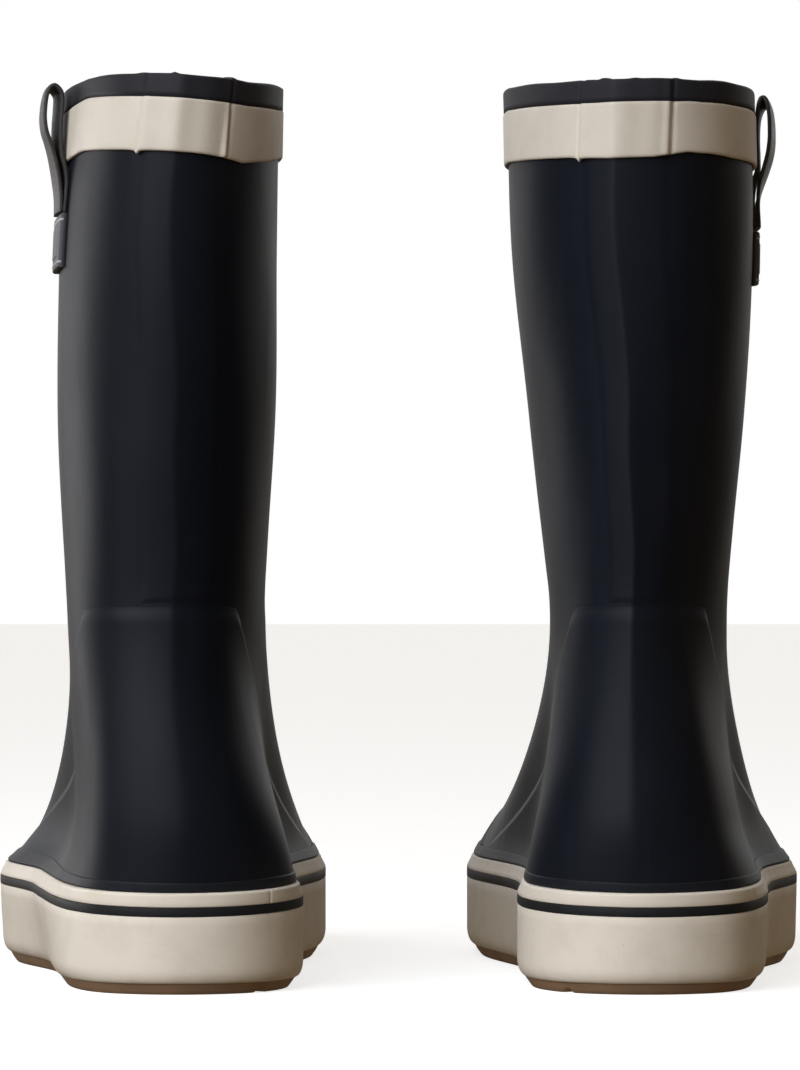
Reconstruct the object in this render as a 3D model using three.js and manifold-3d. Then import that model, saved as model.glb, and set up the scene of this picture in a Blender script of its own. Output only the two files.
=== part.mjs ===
// A pair of rubber deck boots. Millimetres, +Z up, toes towards +Y.
//
// Each boot is drawn in a frame of its own: x towards the outside of the foot, y forward from the
// back of the sidewall, z up from the ground. The left boot is the same work mirrored in x.
//
// The rubber skin is one surface. Its angle goes round the foot: 0 at the toe, a quarter turn at
// the outer side, half a turn at the heel. Its rise goes up a meridian: 0 to 1 along the upright
// wall behind the sidewall, 1 to 2 over the foot to the ankle, 2 to 3 up the leg.
// Every soft layer is the space between two offsets from that skin.

import * as THREE from "three";
import { mergeVertices } from "three/addons/utils/BufferGeometryUtils.js";
import Module from "manifold-3d";

const wasm = await Module();
wasm.setup();

// ---------------------------------------------------------------- driving dimensions
const LENGTH = 302; // over the sidewall, heel to toe
const HEIGHT = 315; // ground to the highest point of the rim
const ANKLE_HEIGHT = 143; // the foot ends and the tube of the leg begins
const GAP = 0.3; // between two pieces that are bonded or rest on each other

const OUTSOLE_THICK = 3.8;
const OUTSOLE_TOP_INSET = 3.0; // from the sidewall's outer face
const OUTSOLE_GROUND_INSET = 5.5;
const SIPE_WIDTH = 1.4;
const SIPE_DEPTH = 1.6;
const SIPE_PITCH = 9;
const SIDEWALL_THICK = 3.3;
const SIDEWALL_TOP_HEEL = 34.9;
const SIDEWALL_TOP_TOE = 37.2;
const SIDEWALL_CORNER = 3.3; // rounding of its lower edge
const PINSTRIPE_HEIGHT = 3.2;
const PINSTRIPE_DROP = 4.9; // from the sidewall's top to the stripe's top
const PINSTRIPE_THICK = 0.7;
const BUMPER_HEIGHT = 3.3;
const BUMPER_THICK = 1.2;

const SEAT_HEEL = 17; // top of the midsole under the heel
const SEAT_FORE = 11.5; // and under the ball
const LASTING_MARGIN = 12; // the upper's edge turned in under the insole
const UPPER_THICK = 2.0;
const LINING_THICK = 1.0;
const BOARD_THICK = 2.0;
const FOOTBED_THICK = 4.5;
const FOOTBED_BEVEL = 1; // its top edge is trimmed in by this much

const TRIM_GAP = 0.95; // under the overlays that cross the ankle, where the skin bends both ways
const COUNTER_TOP = 133;
const COUNTER_THICK = 1.0;
const TOE_GUARD_RISE = 22; // above the bumper strip at the tip of the toe
const TOE_GUARD_THICK = 1.0;
const STAY_THICK = 0.8;
const STAY_HALF = 24.5; // degrees either side of the heel line
const BINDING_HEIGHT = 8.4;
const BINDING_THICK = 1.1;
const BAND_HEIGHT = 18.3;
const BAND_THICK = 1.3;

const PATCH_WIDTH = 20;
const PATCH_HEIGHT = 19;
const PATCH_THICK = 2.2;
const LOOP_WIDTH = 18;
const LOOP_REST = 1.7; // from the patch's top edge to where the strap swings
const LOOP_RISE = 45.8; // from there to its crown
const LOOP_LEAF = 1.8; // one thickness of the strap
const LOOP_EYE = 2.8; // widest opening between the two leaves
const LOOP_ANGLE = 99; // degrees round from the toe

// The wall's plan: turns (in half turns from the toe, + outer side) and half widths.
const PLAN = [
  [-1, 0], [-0.88, -26.4], [-0.76, -38.9], // heel, inner side
  [-0.55, -36], [-0.37, -49.5], // waist and ball
  [-0.21, -45.5], [-0.1, -28], [0, -3], [0.1, 22], [0.22, 45], // round the toe
  [0.42, 62.5], [0.57, 45.5], // ball and waist, outer side
  [0.76, 38.9], [0.88, 26.4], [1, 0],
];

// The leg is an oval at four equal steps of height: half depth, and the heel line's y.
const LEG_DEPTH = [52, 58, 65, 70];
const LEG_BACK = [13, 9, 5, 3];
const HEEL_CREASE = 0.8; // the soft fold down the heel line stands this proud

// How each boot stands: half widths, sideways lean and turn (degrees) of the four ovals,
// how far the heel is from the pair's middle, toe-out, and how much the rim dips each side.
const STANCES = {
  left: {
    side: -1, heelX: 76.8, toeOut: 1.6, rimDip: { outer: 2.0, inner: 0.3 },
    halfWidth: [34.9, 38.2, 38.2, 37.0], lean: [5.0, 4.5, 4.5, 2.8], turn: [-6, -2, 2, 6],
    patchDrop: 46.2, patchTilt: 5,
  },
  right: {
    side: 1, heelX: 84.6, toeOut: -1.6, rimDip: { outer: 4.1, inner: 1.6 },
    halfWidth: [32.2, 37.3, 40.2, 39.3], lean: [-0.5, -0.9, -2.5, -3.6], turn: [0, -6, -10, -15],
    patchDrop: 51.2, patchTilt: -1,
  },
};

// ---------------------------------------------------------------- sizes that follow
const WALL_OUT = GAP + SIDEWALL_THICK; // sidewall's outer face, from the upper's wall
const HEEL_PIVOT = 42; // y about which a boot is turned out
const AROUND = 36; // columns of every ring
const DEGREE = Math.PI / 180;
const LINING_OUT = -UPPER_THICK - GAP;
const LINING_IN = LINING_OUT - LINING_THICK;
const BOARD_OUT = LINING_IN - GAP;
const BOARD_LOW = GAP + UPPER_THICK + GAP; // above the midsole
const FOOTBED_LOW = BOARD_LOW + BOARD_THICK + GAP;
const EDGE_DROP = BINDING_THICK + GAP; // the upper's raw edge below the top of the binding

// ---------------------------------------------------------------- small helpers
const clamp01 = (t) => Math.min(1, Math.max(0, t));

function smooth(t) {
  const u = clamp01(t);
  return u * u * (3 - 2 * u);
}

// A smooth step from each station [x, value] to the next.
function stations(x, list) {
  let value = list[0][1];
  for (let i = 1; i < list.length; i += 1) {
    const [x0, v0] = list[i - 1];
    const [x1, v1] = list[i];
    if (x >= x0) value = v0 + (v1 - v0) * smooth((x - x0) / (x1 - x0));
  }
  return value;
}

// A cubic through the points (xs, ys), its slopes taken from each point's neighbours.
function through(xs, ys, x) {
  const last = xs.length - 1;
  const slope = (i) => {
    const a = Math.max(i - 1, 0);
    const b = Math.min(i + 1, last);
    return (ys[b] - ys[a]) / (xs[b] - xs[a]);
  };
  let i = 0;
  while (i < last - 1 && x > xs[i + 1]) i += 1;
  const h = xs[i + 1] - xs[i];
  const t = (x - xs[i]) / h;
  const t2 = t * t;
  const t3 = t2 * t;
  return (2 * t3 - 3 * t2 + 1) * ys[i] + (t3 - 2 * t2 + t) * h * slope(i)
    + (3 * t2 - 2 * t3) * ys[i + 1] + (t3 - t2) * h * slope(i + 1);
}

// ---------------------------------------------------------------- the plan of the wall
const PLAN_LOOP = [
  ...PLAN.slice(-3, -1).map(([turn, x]) => [turn - 2, x]),
  ...PLAN,
  ...PLAN.slice(1, 3).map(([turn, x]) => [turn + 2, x]),
];
const PLAN_TURNS = PLAN_LOOP.map(([turn]) => turn);
const PLAN_XS = PLAN_LOOP.map(([, x]) => x);

function wallPoint(angle) {
  const halfTurns = angle / Math.PI;
  const turn = halfTurns - 2 * Math.floor((halfTurns + 1) / 2);
  const half = LENGTH / 2 - WALL_OUT;
  return [through(PLAN_TURNS, PLAN_XS, turn), LENGTH / 2 + half * Math.cos(angle)];
}

// The wall's plan moved outwards by an offset, at right angles to itself.
function outline(angle, offset) {
  const step = 1e-3;
  const [x, y] = wallPoint(angle);
  const [xa, ya] = wallPoint(angle - step);
  const [xb, yb] = wallPoint(angle + step);
  const size = Math.hypot(xb - xa, yb - ya);
  return [x - ((yb - ya) / size) * offset, y + ((xb - xa) / size) * offset];
}

const sidewallTop = (angle) =>
  SIDEWALL_TOP_HEEL + (SIDEWALL_TOP_TOE - SIDEWALL_TOP_HEEL) * smooth((1 + Math.cos(angle)) / 2);

// Top of the midsole: level across the foot, lower from the waist forward.
const seat = (y) => SEAT_HEEL + (SEAT_FORE - SEAT_HEEL) * smooth((y / LENGTH - 0.25) / 0.4);
const seatUnder = (angle, offset) => seat(outline(angle, offset)[1]);

// ---------------------------------------------------------------- the skin
function rimHeight(angle, stance) {
  const s = Math.sin(angle);
  return HEIGHT - (s > 0 ? stance.rimDip.outer : stance.rimDip.inner) * s * s;
}

function legPoint(angle, z, stance) {
  const legStep = (HEIGHT - ANKLE_HEIGHT) / (LEG_DEPTH.length - 1);
  const heights = LEG_DEPTH.map((_, i) => ANKLE_HEIGHT + i * legStep);
  const halfWidth = through(heights, stance.halfWidth, z);
  const halfDepth = through(heights, LEG_DEPTH, z);
  const turn = through(heights, stance.turn, z) * DEGREE;
  const s = Math.sin(angle);
  const c = Math.cos(angle);
  const x = halfWidth * Math.sign(s) * Math.abs(s) ** 0.95;
  const crease = c < 0 ? HEEL_CREASE * Math.exp(-Math.abs(x) / 6) : 0;
  const y = halfDepth * c - crease;
  return new THREE.Vector3(
    x * Math.cos(turn) + y * Math.sin(turn) + through(heights, stance.lean, z),
    y * Math.cos(turn) - x * Math.sin(turn) + through(heights, LEG_BACK, z) + halfDepth,
    z,
  );
}

// From the sidewall's top to the ankle: a quartic curve that starts along the wall and ends
// along the leg. It leans in over the ball and stands up at heel and toe.
function footPoint(angle, t, stance) {
  const away = Math.abs(Math.atan2(Math.sin(angle), Math.cos(angle))) / Math.PI; // 0 toe, 1 heel
  const [x0, y0] = outline(angle, 0);
  const p0 = new THREE.Vector3(x0, y0, sidewallTop(angle));
  const [x1, y1] = outline(angle, stations(away, [[0, 2], [0.3, -8], [0.5, -6.5], [0.72, -2.5], [1, 2.5]]));
  const up = stations(away, [[0, 36], [0.3, 15], [0.5, 12], [1, 26]]);
  const p1 = new THREE.Vector3(x1, y1, p0.z + up);
  const p4 = legPoint(angle, ANKLE_HEIGHT, stance);
  const along = legPoint(angle, ANKLE_HEIGHT + 2, stance).sub(p4).divideScalar(2);
  const down = stations(away, [[0, 36], [0.5, 28], [1, 30]]);
  const p3 = p4.clone().addScaledVector(along, -down);
  const p2 = p1.clone().lerp(p3, stations(away, [[0, 0.72], [0.5, 0.5], [1, 0.5]]));
  p2.z += stations(away, [[0, -13], [0.3, -12], [0.5, -2], [0.75, 0], [1, 0]]);
  p2.x -= (p2.x > 0 ? 3 : 0) * stations(away, [[0, 0], [0.3, 1], [0.5, 1], [0.8, 0], [1, 0]]);
  const u = 1 - t;
  const weights = [u ** 4, 4 * t * u ** 3, 6 * t * t * u * u, 4 * t ** 3 * u, t ** 4];
  const sum = new THREE.Vector3();
  [p0, p1, p2, p3, p4].forEach((p, i) => sum.addScaledVector(p, weights[i]));
  return sum;
}

function skinPoint(angle, rise, stance) {
  if (rise < 1) {
    const [x, y] = outline(angle, 0);
    return new THREE.Vector3(x, y, rise * sidewallTop(angle));
  }
  if (rise < 2) return footPoint(angle, rise - 1, stance);
  return legPoint(angle, ANKLE_HEIGHT + (rise - 2) * (HEIGHT - ANKLE_HEIGHT), stance);
}

// The skin moved out along its own normal.
function skin(angle, rise, offset, stance) {
  const p = skinPoint(angle, rise, stance);
  const around = skinPoint(angle + 0.02, rise, stance).sub(skinPoint(angle - 0.02, rise, stance));
  const upward = skinPoint(angle, rise + 0.01, stance).sub(skinPoint(angle, rise - 0.01, stance));
  return p.addScaledVector(upward.cross(around).normalize(), offset);
}

// The rise at which a meridian reaches a height.
function riseAt(angle, z, stance) {
  const top = sidewallTop(angle);
  if (z <= top) return z / top;
  if (z >= ANKLE_HEIGHT) return 2 + (z - ANKLE_HEIGHT) / (HEIGHT - ANKLE_HEIGHT);
  let low = 1;
  let high = 2;
  for (let i = 0; i < 30; i += 1) {
    const middle = (low + high) / 2;
    if (skinPoint(angle, middle, stance).z < z) low = middle;
    else high = middle;
  }
  return low;
}

const skinAtHeight = (angle, z, offset, stance) => skin(angle, riseAt(angle, z, stance), offset, stance);

// ---------------------------------------------------------------- closed bodies
const COLUMNS = Array.from({ length: AROUND }, (_, i) => (i * 2 * Math.PI) / AROUND);

// A four-sided facet is split along its shorter diagonal, so that parallel layers split alike.
function split(points, [a, b, c, d]) {
  const shorter = points[a].distanceTo(points[c]) < points[b].distanceTo(points[d]);
  return shorter ? [[a, b, c], [a, c, d]] : [[a, b, d], [b, c, d]];
}

// A closed mesh from facets of three or four points, turned to face outwards.
function body(points, facets) {
  const faces = facets.flatMap((facet) => (facet.length === 3 ? [facet] : split(points, facet)));
  let volume = 0;
  for (const [a, b, c] of faces) {
    volume += points[a].dot(points[b].clone().cross(points[c]));
  }
  const outward = volume > 0 ? faces : faces.map(([a, b, c]) => [a, c, b]);
  const geometry = new THREE.BufferGeometry();
  geometry.setAttribute("position", new THREE.Float32BufferAttribute(points.flatMap((p) => [p.x, p.y, p.z]), 3));
  geometry.setIndex(outward.flat());
  geometry.computeVertexNormals();
  return geometry;
}

// A closed section carried round the boot: section(angle) gives the same number of points each time.
function ringBody(section, columns = COLUMNS) {
  const sections = columns.map(section);
  const points = sections.flat();
  const n = sections[0].length;
  const faces = [];
  for (let i = 0; i < columns.length; i += 1) {
    const j = (i + 1) % columns.length;
    for (let k = 0; k < n; k += 1) {
      const l = (k + 1) % n;
      faces.push([i * n + k, j * n + k, j * n + l, i * n + l]);
    }
  }
  return body(points, faces);
}

// A sheet with two faces: at(column, row, layer) with layer 0 inside and 1 outside.
function sheetBody(columns, rows, at) {
  const points = [];
  for (let layer = 0; layer < 2; layer += 1) {
    for (let i = 0; i < columns; i += 1) {
      for (let j = 0; j < rows; j += 1) points.push(at(i, j, layer));
    }
  }
  const index = (i, j, layer) => layer * columns * rows + i * rows + j;
  const faces = [];
  const quad = (...corners) => faces.push(corners);
  for (let i = 0; i + 1 < columns; i += 1) {
    for (let j = 0; j + 1 < rows; j += 1) {
      quad(index(i, j, 0), index(i, j + 1, 0), index(i + 1, j + 1, 0), index(i + 1, j, 0));
      quad(index(i, j, 1), index(i + 1, j, 1), index(i + 1, j + 1, 1), index(i, j + 1, 1));
    }
    quad(index(i, 0, 0), index(i + 1, 0, 0), index(i + 1, 0, 1), index(i, 0, 1));
    quad(index(i, rows - 1, 0), index(i, rows - 1, 1), index(i + 1, rows - 1, 1), index(i + 1, rows - 1, 0));
  }
  for (let j = 0; j + 1 < rows; j += 1) {
    quad(index(0, j, 0), index(0, j, 1), index(0, j + 1, 1), index(0, j + 1, 0));
    quad(index(columns - 1, j, 0), index(columns - 1, j + 1, 0), index(columns - 1, j + 1, 1), index(columns - 1, j, 1));
  }
  return body(points, faces);
}

// A plate of the foot's plan: rungs join the outer edge to the inner edge at the same turn.
function plateBody(lowOffset, highOffset, low, high) {
  const edge = (offset, height) => COLUMNS.map((angle) => {
    const [x, y] = outline(angle, offset);
    return new THREE.Vector3(x, y, height(y));
  });
  const points = [...edge(lowOffset, low), ...edge(highOffset, high)];
  const faces = [];
  for (let i = 0; i < AROUND; i += 1) {
    const j = (i + 1) % AROUND;
    faces.push([i, j, AROUND + j, AROUND + i]);
  }
  for (let i = 0; i < AROUND / 2; i += 1) {
    const across = (AROUND - i) % AROUND;
    const next = AROUND - i - 1;
    if (i > 0) faces.push([i, across, next], [AROUND + i, AROUND + next, AROUND + across]);
    if (i + 1 < next) faces.push([i, next, i + 1], [AROUND + i, AROUND + i + 1, AROUND + next]);
  }
  return body(points, faces);
}

// ---------------------------------------------------------------- cutting
function toSolid(geometry) {
  const bare = geometry.clone();
  bare.deleteAttribute("normal");
  bare.deleteAttribute("uv");
  const merged = mergeVertices(bare, 1e-4);
  return new wasm.Manifold(new wasm.Mesh({
    numProp: 3,
    vertProperties: new Float32Array(merged.attributes.position.array),
    triVerts: new Uint32Array(merged.index.array),
  }));
}

function fromSolid(solid) {
  const mesh = solid.getMesh();
  const geometry = new THREE.BufferGeometry();
  geometry.setAttribute("position", new THREE.BufferAttribute(mesh.vertProperties, 3));
  geometry.setIndex(new THREE.BufferAttribute(mesh.triVerts, 1));
  geometry.computeVertexNormals();
  return geometry;
}

// ---------------------------------------------------------------- the pieces of the sole
const OUTSOLE_OUT = WALL_OUT - OUTSOLE_TOP_INSET;
const SOLE_LOW = OUTSOLE_THICK + GAP; // what stands on the outsole starts here
const HEEL_SIPES = { from: 0.08, count: 5 };
const BALL_SIPES = { from: 0.46, count: 13 };
const SIPE_SLANT = 8; // degrees
const HEEL_CHANNEL_X = -28;

// A gum plate whose edge slopes in to the ground, with sipes cut across heel and ball and one
// channel that runs out at the inner back edge.
function outsole() {
  const ground = WALL_OUT - OUTSOLE_GROUND_INSET;
  let solid = toSolid(plateBody(ground, OUTSOLE_OUT, () => 0, () => OUTSOLE_THICK));
  for (const rows of [HEEL_SIPES, BALL_SIPES]) {
    for (let i = 0; i < rows.count; i += 1) {
      const sipe = new THREE.BoxGeometry(LENGTH, SIPE_WIDTH, 2 * SIPE_DEPTH);
      sipe.rotateZ(SIPE_SLANT * DEGREE);
      sipe.translate(0, rows.from * LENGTH + i * SIPE_PITCH, 0);
      solid = solid.subtract(toSolid(sipe));
    }
  }
  const channel = new THREE.BoxGeometry(SIPE_WIDTH, 0.16 * LENGTH, 2 * SIPE_DEPTH);
  channel.translate(HEEL_CHANNEL_X, 0.08 * LENGTH, 0);
  return fromSolid(solid.subtract(toSolid(channel)));
}

// The foxing tape: flat outside with a rounded lower edge and a groove that takes the pinstripe.
function sidewall() {
  const round = (degrees) => [
    WALL_OUT - SIDEWALL_CORNER * (1 - Math.cos(degrees * DEGREE)) * 0.8,
    SOLE_LOW + SIDEWALL_CORNER * (1 - Math.sin(degrees * DEGREE)),
  ];
  return ringBody((angle) => {
    const top = sidewallTop(angle);
    const stripeTop = top - PINSTRIPE_DROP + GAP;
    const stripeLow = top - PINSTRIPE_DROP - PINSTRIPE_HEIGHT - GAP;
    const grooved = WALL_OUT - PINSTRIPE_THICK - GAP + 0.1;
    const profile = [
      [GAP, SOLE_LOW], [GAP, top], [WALL_OUT - 1.3, top], [WALL_OUT, top - 1.6],
      [WALL_OUT, stripeTop], [grooved, stripeTop], [grooved, stripeLow], [WALL_OUT, stripeLow],
      round(0), round(50), round(90),
    ];
    return profile.map(([offset, z]) => {
      const [x, y] = outline(angle, offset);
      return new THREE.Vector3(x, y, z);
    });
  });
}

function pinstripe() {
  const inner = WALL_OUT - PINSTRIPE_THICK + 0.1;
  return ringBody((angle) => {
    const top = sidewallTop(angle) - PINSTRIPE_DROP;
    const low = top - PINSTRIPE_HEIGHT;
    const profile = [[inner, low], [inner, top], [WALL_OUT + 0.1, top], [WALL_OUT + 0.1, low]];
    return profile.map(([offset, z]) => {
      const [x, y] = outline(angle, offset);
      return new THREE.Vector3(x, y, z);
    });
  });
}

// A narrow strip on the skin, standing on the sidewall's top edge.
function bumperStrip(stance) {
  return ringBody((angle) => {
    const low = sidewallTop(angle) + GAP;
    const high = low + BUMPER_HEIGHT;
    return [[low, GAP], [high, GAP], [high, GAP + BUMPER_THICK], [low, GAP + BUMPER_THICK]]
      .map(([z, offset]) => skinAtHeight(angle, z, offset, stance));
  });
}

const FILLER_OUT = -LASTING_MARGIN - UPPER_THICK - GAP;
const midsole = () => plateBody(0, 0, () => SOLE_LOW, seat);
// A layer of the sole between two heights above the midsole.
const seatLayer = (lowOffset, highOffset, low, thick) => plateBody(
  lowOffset, highOffset, (y) => seat(y) + low, (y) => seat(y) + low + thick,
);
const bottomFiller = () => seatLayer(FILLER_OUT, FILLER_OUT, GAP, UPPER_THICK);
const insoleBoard = () => seatLayer(BOARD_OUT, BOARD_OUT, BOARD_LOW, BOARD_THICK);
const footbed = () => seatLayer(BOARD_OUT - GAP, BOARD_OUT - GAP - FOOTBED_BEVEL, FOOTBED_LOW, FOOTBED_THICK);

// ---------------------------------------------------------------- the pieces of the upper
const trimLow = (angle) => sidewallTop(angle) + GAP + BUMPER_HEIGHT + GAP;
const FOOT_RISES = [1.22, 1.35, 1.5, 1.66, 1.83]; // rows over the foot
const LEG_ROWS = 4;

// Rises from the wall's foot to just below the rim. All layers share them, so they stay parallel.
function meridian(angle, lowZ, stance) {
  const rises = [riseAt(angle, lowZ, stance), 1, riseAt(angle, trimLow(angle), stance), ...FOOT_RISES];
  const top = riseAt(angle, rimHeight(angle, stance) - EDGE_DROP, stance);
  for (let i = 0; i <= LEG_ROWS; i += 1) rises.push(2 + ((top - 2) * i) / LEG_ROWS);
  return rises;
}

// A point of a layer's facets on one of the shared columns, between its rows.
function facetPoint(angle, rise, offset, stance) {
  const rises = meridian(angle, seatUnder(angle, 0), stance);
  const k = Math.max(1, rises.findIndex((row) => row >= rise));
  const share = (rise - rises[k - 1]) / (rises[k] - rises[k - 1]);
  return skin(angle, rises[k - 1], offset, stance).lerp(skin(angle, rises[k], offset, stance), share);
}

// The rubber shell: up the outside, over the edge, down the inside and in under the insole.
function upper(stance) {
  return ringBody((angle) => {
    const low = seatUnder(angle, 0) + GAP;
    const turned = seatUnder(angle, -UPPER_THICK) + GAP + UPPER_THICK;
    const [x, y] = outline(angle, -UPPER_THICK - LASTING_MARGIN);
    const edge = seat(y) + GAP;
    const outside = meridian(angle, low, stance).map((rise) => skin(angle, rise, 0, stance));
    const inside = meridian(angle, turned, stance).map((rise) => skin(angle, rise, -UPPER_THICK, stance));
    return [
      ...outside, ...inside.reverse(),
      new THREE.Vector3(x, y, edge + UPPER_THICK), new THREE.Vector3(x, y, edge),
    ];
  });
}

function lining(stance) {
  return ringBody((angle) => {
    const rises = meridian(angle, seatUnder(angle, LINING_OUT) + BOARD_LOW, stance);
    const outside = rises.map((rise) => skin(angle, rise, LINING_OUT, stance));
    const inside = rises.map((rise) => skin(angle, rise, LINING_IN, stance));
    return [...outside, ...inside.reverse()];
  });
}

const aroundHeel = (degrees) => Math.PI + degrees * DEGREE;
// The heel counter: level across the back, then each front edge runs down and forward.
const COUNTER_LEVEL = 50; // degrees either side of the heel line
const COUNTER_FRONT = 110;
const COUNTER_STEP = 360 / AROUND;
const COUNTER_ROWS = 8;
const COUNTER_TOE = 3; // height left at the front ends
function heelCounter(stance) {
  const columns = (2 * COUNTER_FRONT) / COUNTER_STEP + 1;
  return sheetBody(columns, COUNTER_ROWS, (i, j, layer) => {
    const degrees = i * COUNTER_STEP - COUNTER_FRONT;
    const angle = aroundHeel(degrees);
    const low = trimLow(angle);
    const front = clamp01((Math.abs(degrees) - COUNTER_LEVEL) / (COUNTER_FRONT - COUNTER_LEVEL));
    const high = low + COUNTER_TOE + (COUNTER_TOP - low - COUNTER_TOE) * (1 - front ** 0.8);
    const z = low + ((high - low) * j) / (COUNTER_ROWS - 1);
    return facetPoint(angle, riseAt(angle, z, stance), TRIM_GAP + layer * COUNTER_THICK, stance);
  });
}

// The toe guard: tallest at the tip, running out low at both sides.
const TOE_GUARD_HALF = 60; // degrees
function toeGuard(stance) {
  const columns = 13;
  const rows = 4;
  return sheetBody(columns, rows, (i, j, layer) => {
    const share = (2 * i) / (columns - 1) - 1;
    const angle = share * TOE_GUARD_HALF * DEGREE;
    const low = trimLow(angle);
    const high = low + 3 + (TOE_GUARD_RISE - 3) * (1 - share * share);
    return skinAtHeight(angle, low + ((high - low) * j) / (rows - 1), GAP + layer * TOE_GUARD_THICK, stance);
  });
}

// The strip down the back of the leg, from the counter up under the band and the binding's edge.
const STAY_COLUMNS = [-1, -0.8, -0.41, 0, 0.41, 0.8, 1];
function backStay(stance) {
  const rows = 5;
  return sheetBody(STAY_COLUMNS.length, rows, (i, j, layer) => {
    const angle = aroundHeel(STAY_COLUMNS[i] * STAY_HALF);
    const low = COUNTER_TOP + GAP;
    const high = rimHeight(angle, stance) - BINDING_HEIGHT - GAP;
    return skinAtHeight(angle, low + ((high - low) * j) / (rows - 1), TRIM_GAP + layer * STAY_THICK, stance);
  });
}

// The band lies on the leg and steps over the stay.
const BAND_STEP = 5; // degrees in which it climbs
const BAND_COLUMNS = [
  ...COLUMNS,
  ...[-STAY_HALF - BAND_STEP, -STAY_HALF - 1, STAY_HALF + 1, STAY_HALF + BAND_STEP].map(aroundHeel),
].sort((a, b) => a - b);
function overStay(angle) {
  const degrees = Math.abs(angle - Math.PI) / DEGREE;
  return (STAY_THICK + TRIM_GAP) * (1 - clamp01((degrees - STAY_HALF - 1) / (BAND_STEP - 1)));
}
function topBand(stance) {
  return ringBody((angle) => {
    const high = rimHeight(angle, stance) - BINDING_HEIGHT - GAP;
    const low = high - BAND_HEIGHT;
    const inner = GAP + overStay(angle);
    return [[low, inner], [high, inner], [high, inner + BAND_THICK], [low, inner + BAND_THICK]]
      .map(([z, offset]) => skinAtHeight(angle, z, offset, stance));
  }, BAND_COLUMNS);
}

// A channel of rubber folded over the rim: outer leaf, top and inner leaf.
function rimBinding(stance) {
  const outer = GAP + BINDING_THICK;
  const inner = LINING_IN - GAP - BINDING_THICK;
  return ringBody((angle) => {
    const top = rimHeight(angle, stance);
    const profile = [
      [top - BINDING_HEIGHT, GAP], [top - BINDING_THICK, GAP], [top - BINDING_THICK, inner + BINDING_THICK],
      [top - BINDING_HEIGHT, inner + BINDING_THICK], [top - BINDING_HEIGHT, inner],
      [top, inner + 0.4], [top, outer - 0.4], [top - BINDING_HEIGHT, outer],
    ];
    return profile.map(([z, offset]) => skinAtHeight(angle, z, offset, stance));
  });
}

// ---------------------------------------------------------------- the pull loop
const patchTop = (stance) => HEIGHT - stance.patchDrop;

// The patch that holds the loop's ends: a block bent to the leg, tilted a little.
function loopPatch(stance) {
  const columns = 5;
  const middle = LOOP_ANGLE * DEGREE;
  const z = patchTop(stance);
  const perRadian = skinAtHeight(middle + 0.05, z, 0, stance).distanceTo(skinAtHeight(middle - 0.05, z, 0, stance)) * 10;
  return sheetBody(columns, 2, (i, j, layer) => {
    const along = (i / (columns - 1) - 0.5) * PATCH_WIDTH;
    const height = z - PATCH_HEIGHT * (1 - j) + along * Math.tan(stance.patchTilt * DEGREE);
    return skinAtHeight(middle + along / perRadian, height, GAP + layer * PATCH_THICK, stance);
  });
}

// A strap folded double, seen from its edge: it stands off the leg and rises from the patch.
// It steps out over the band and opens into an eye at the top.
function loopProfile(stance) {
  const bandLow = HEIGHT - BINDING_HEIGHT - BAND_HEIGHT - GAP - patchTop(stance) - stance.rimDip.outer;
  const onLeg = 0.9; // the strap is flat and the leg is round
  const onBand = onLeg + GAP + BAND_THICK;
  const double = 2 * LOOP_LEAF;
  const eyeInner = onBand + LOOP_LEAF;
  const eyeOuter = eyeInner + LOOP_EYE;
  const outer = eyeOuter + LOOP_LEAF;
  const top = LOOP_RISE;
  const crown = top - outer / 2 + onBand / 2;
  const shape = new THREE.Shape();
  shape.moveTo(onLeg, 0);
  shape.lineTo(onLeg, bandLow - 5);
  shape.lineTo(onBand, bandLow - 1);
  shape.lineTo(onBand, crown);
  shape.absarc((onBand + outer) / 2, crown, (outer - onBand) / 2, Math.PI, 0, true);
  shape.lineTo(outer, crown - 10);
  shape.quadraticCurveTo(outer, crown - 18, onBand + double, bandLow + 3);
  shape.lineTo(onLeg + double - 0.6, bandLow - 6);
  shape.lineTo(onLeg + double - 1, 0);
  shape.closePath();
  const eye = new THREE.Path();
  eye.moveTo(eyeInner + 0.2, crown - 14);
  eye.lineTo(eyeOuter, crown - 3);
  eye.absarc((eyeInner + eyeOuter) / 2, crown - 3, LOOP_EYE / 2, 0, Math.PI, false);
  eye.closePath();
  shape.holes.push(eye);
  return shape;
}

function pullLoop(stance) {
  const middle = LOOP_ANGLE * DEGREE;
  const z = patchTop(stance) + LOOP_REST;
  const foot = skinAtHeight(middle, z, 0, stance);
  const up = skinAtHeight(middle, z + LOOP_RISE - 8, 0, stance).sub(foot).normalize();
  const forward = skinAtHeight(middle - 0.05, z, 0, stance).sub(skinAtHeight(middle + 0.05, z, 0, stance));
  const out = new THREE.Vector3().crossVectors(forward, up).normalize();
  const across = new THREE.Vector3().crossVectors(out, up);
  const geometry = new THREE.ExtrudeGeometry(loopProfile(stance), {
    depth: LOOP_WIDTH, bevelEnabled: false, curveSegments: 6,
  });
  geometry.translate(0, 0, -LOOP_WIDTH / 2);
  geometry.applyMatrix4(new THREE.Matrix4().makeBasis(out, up, across));
  geometry.translate(foot.x, foot.y, foot.z);
  return geometry;
}

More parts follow.
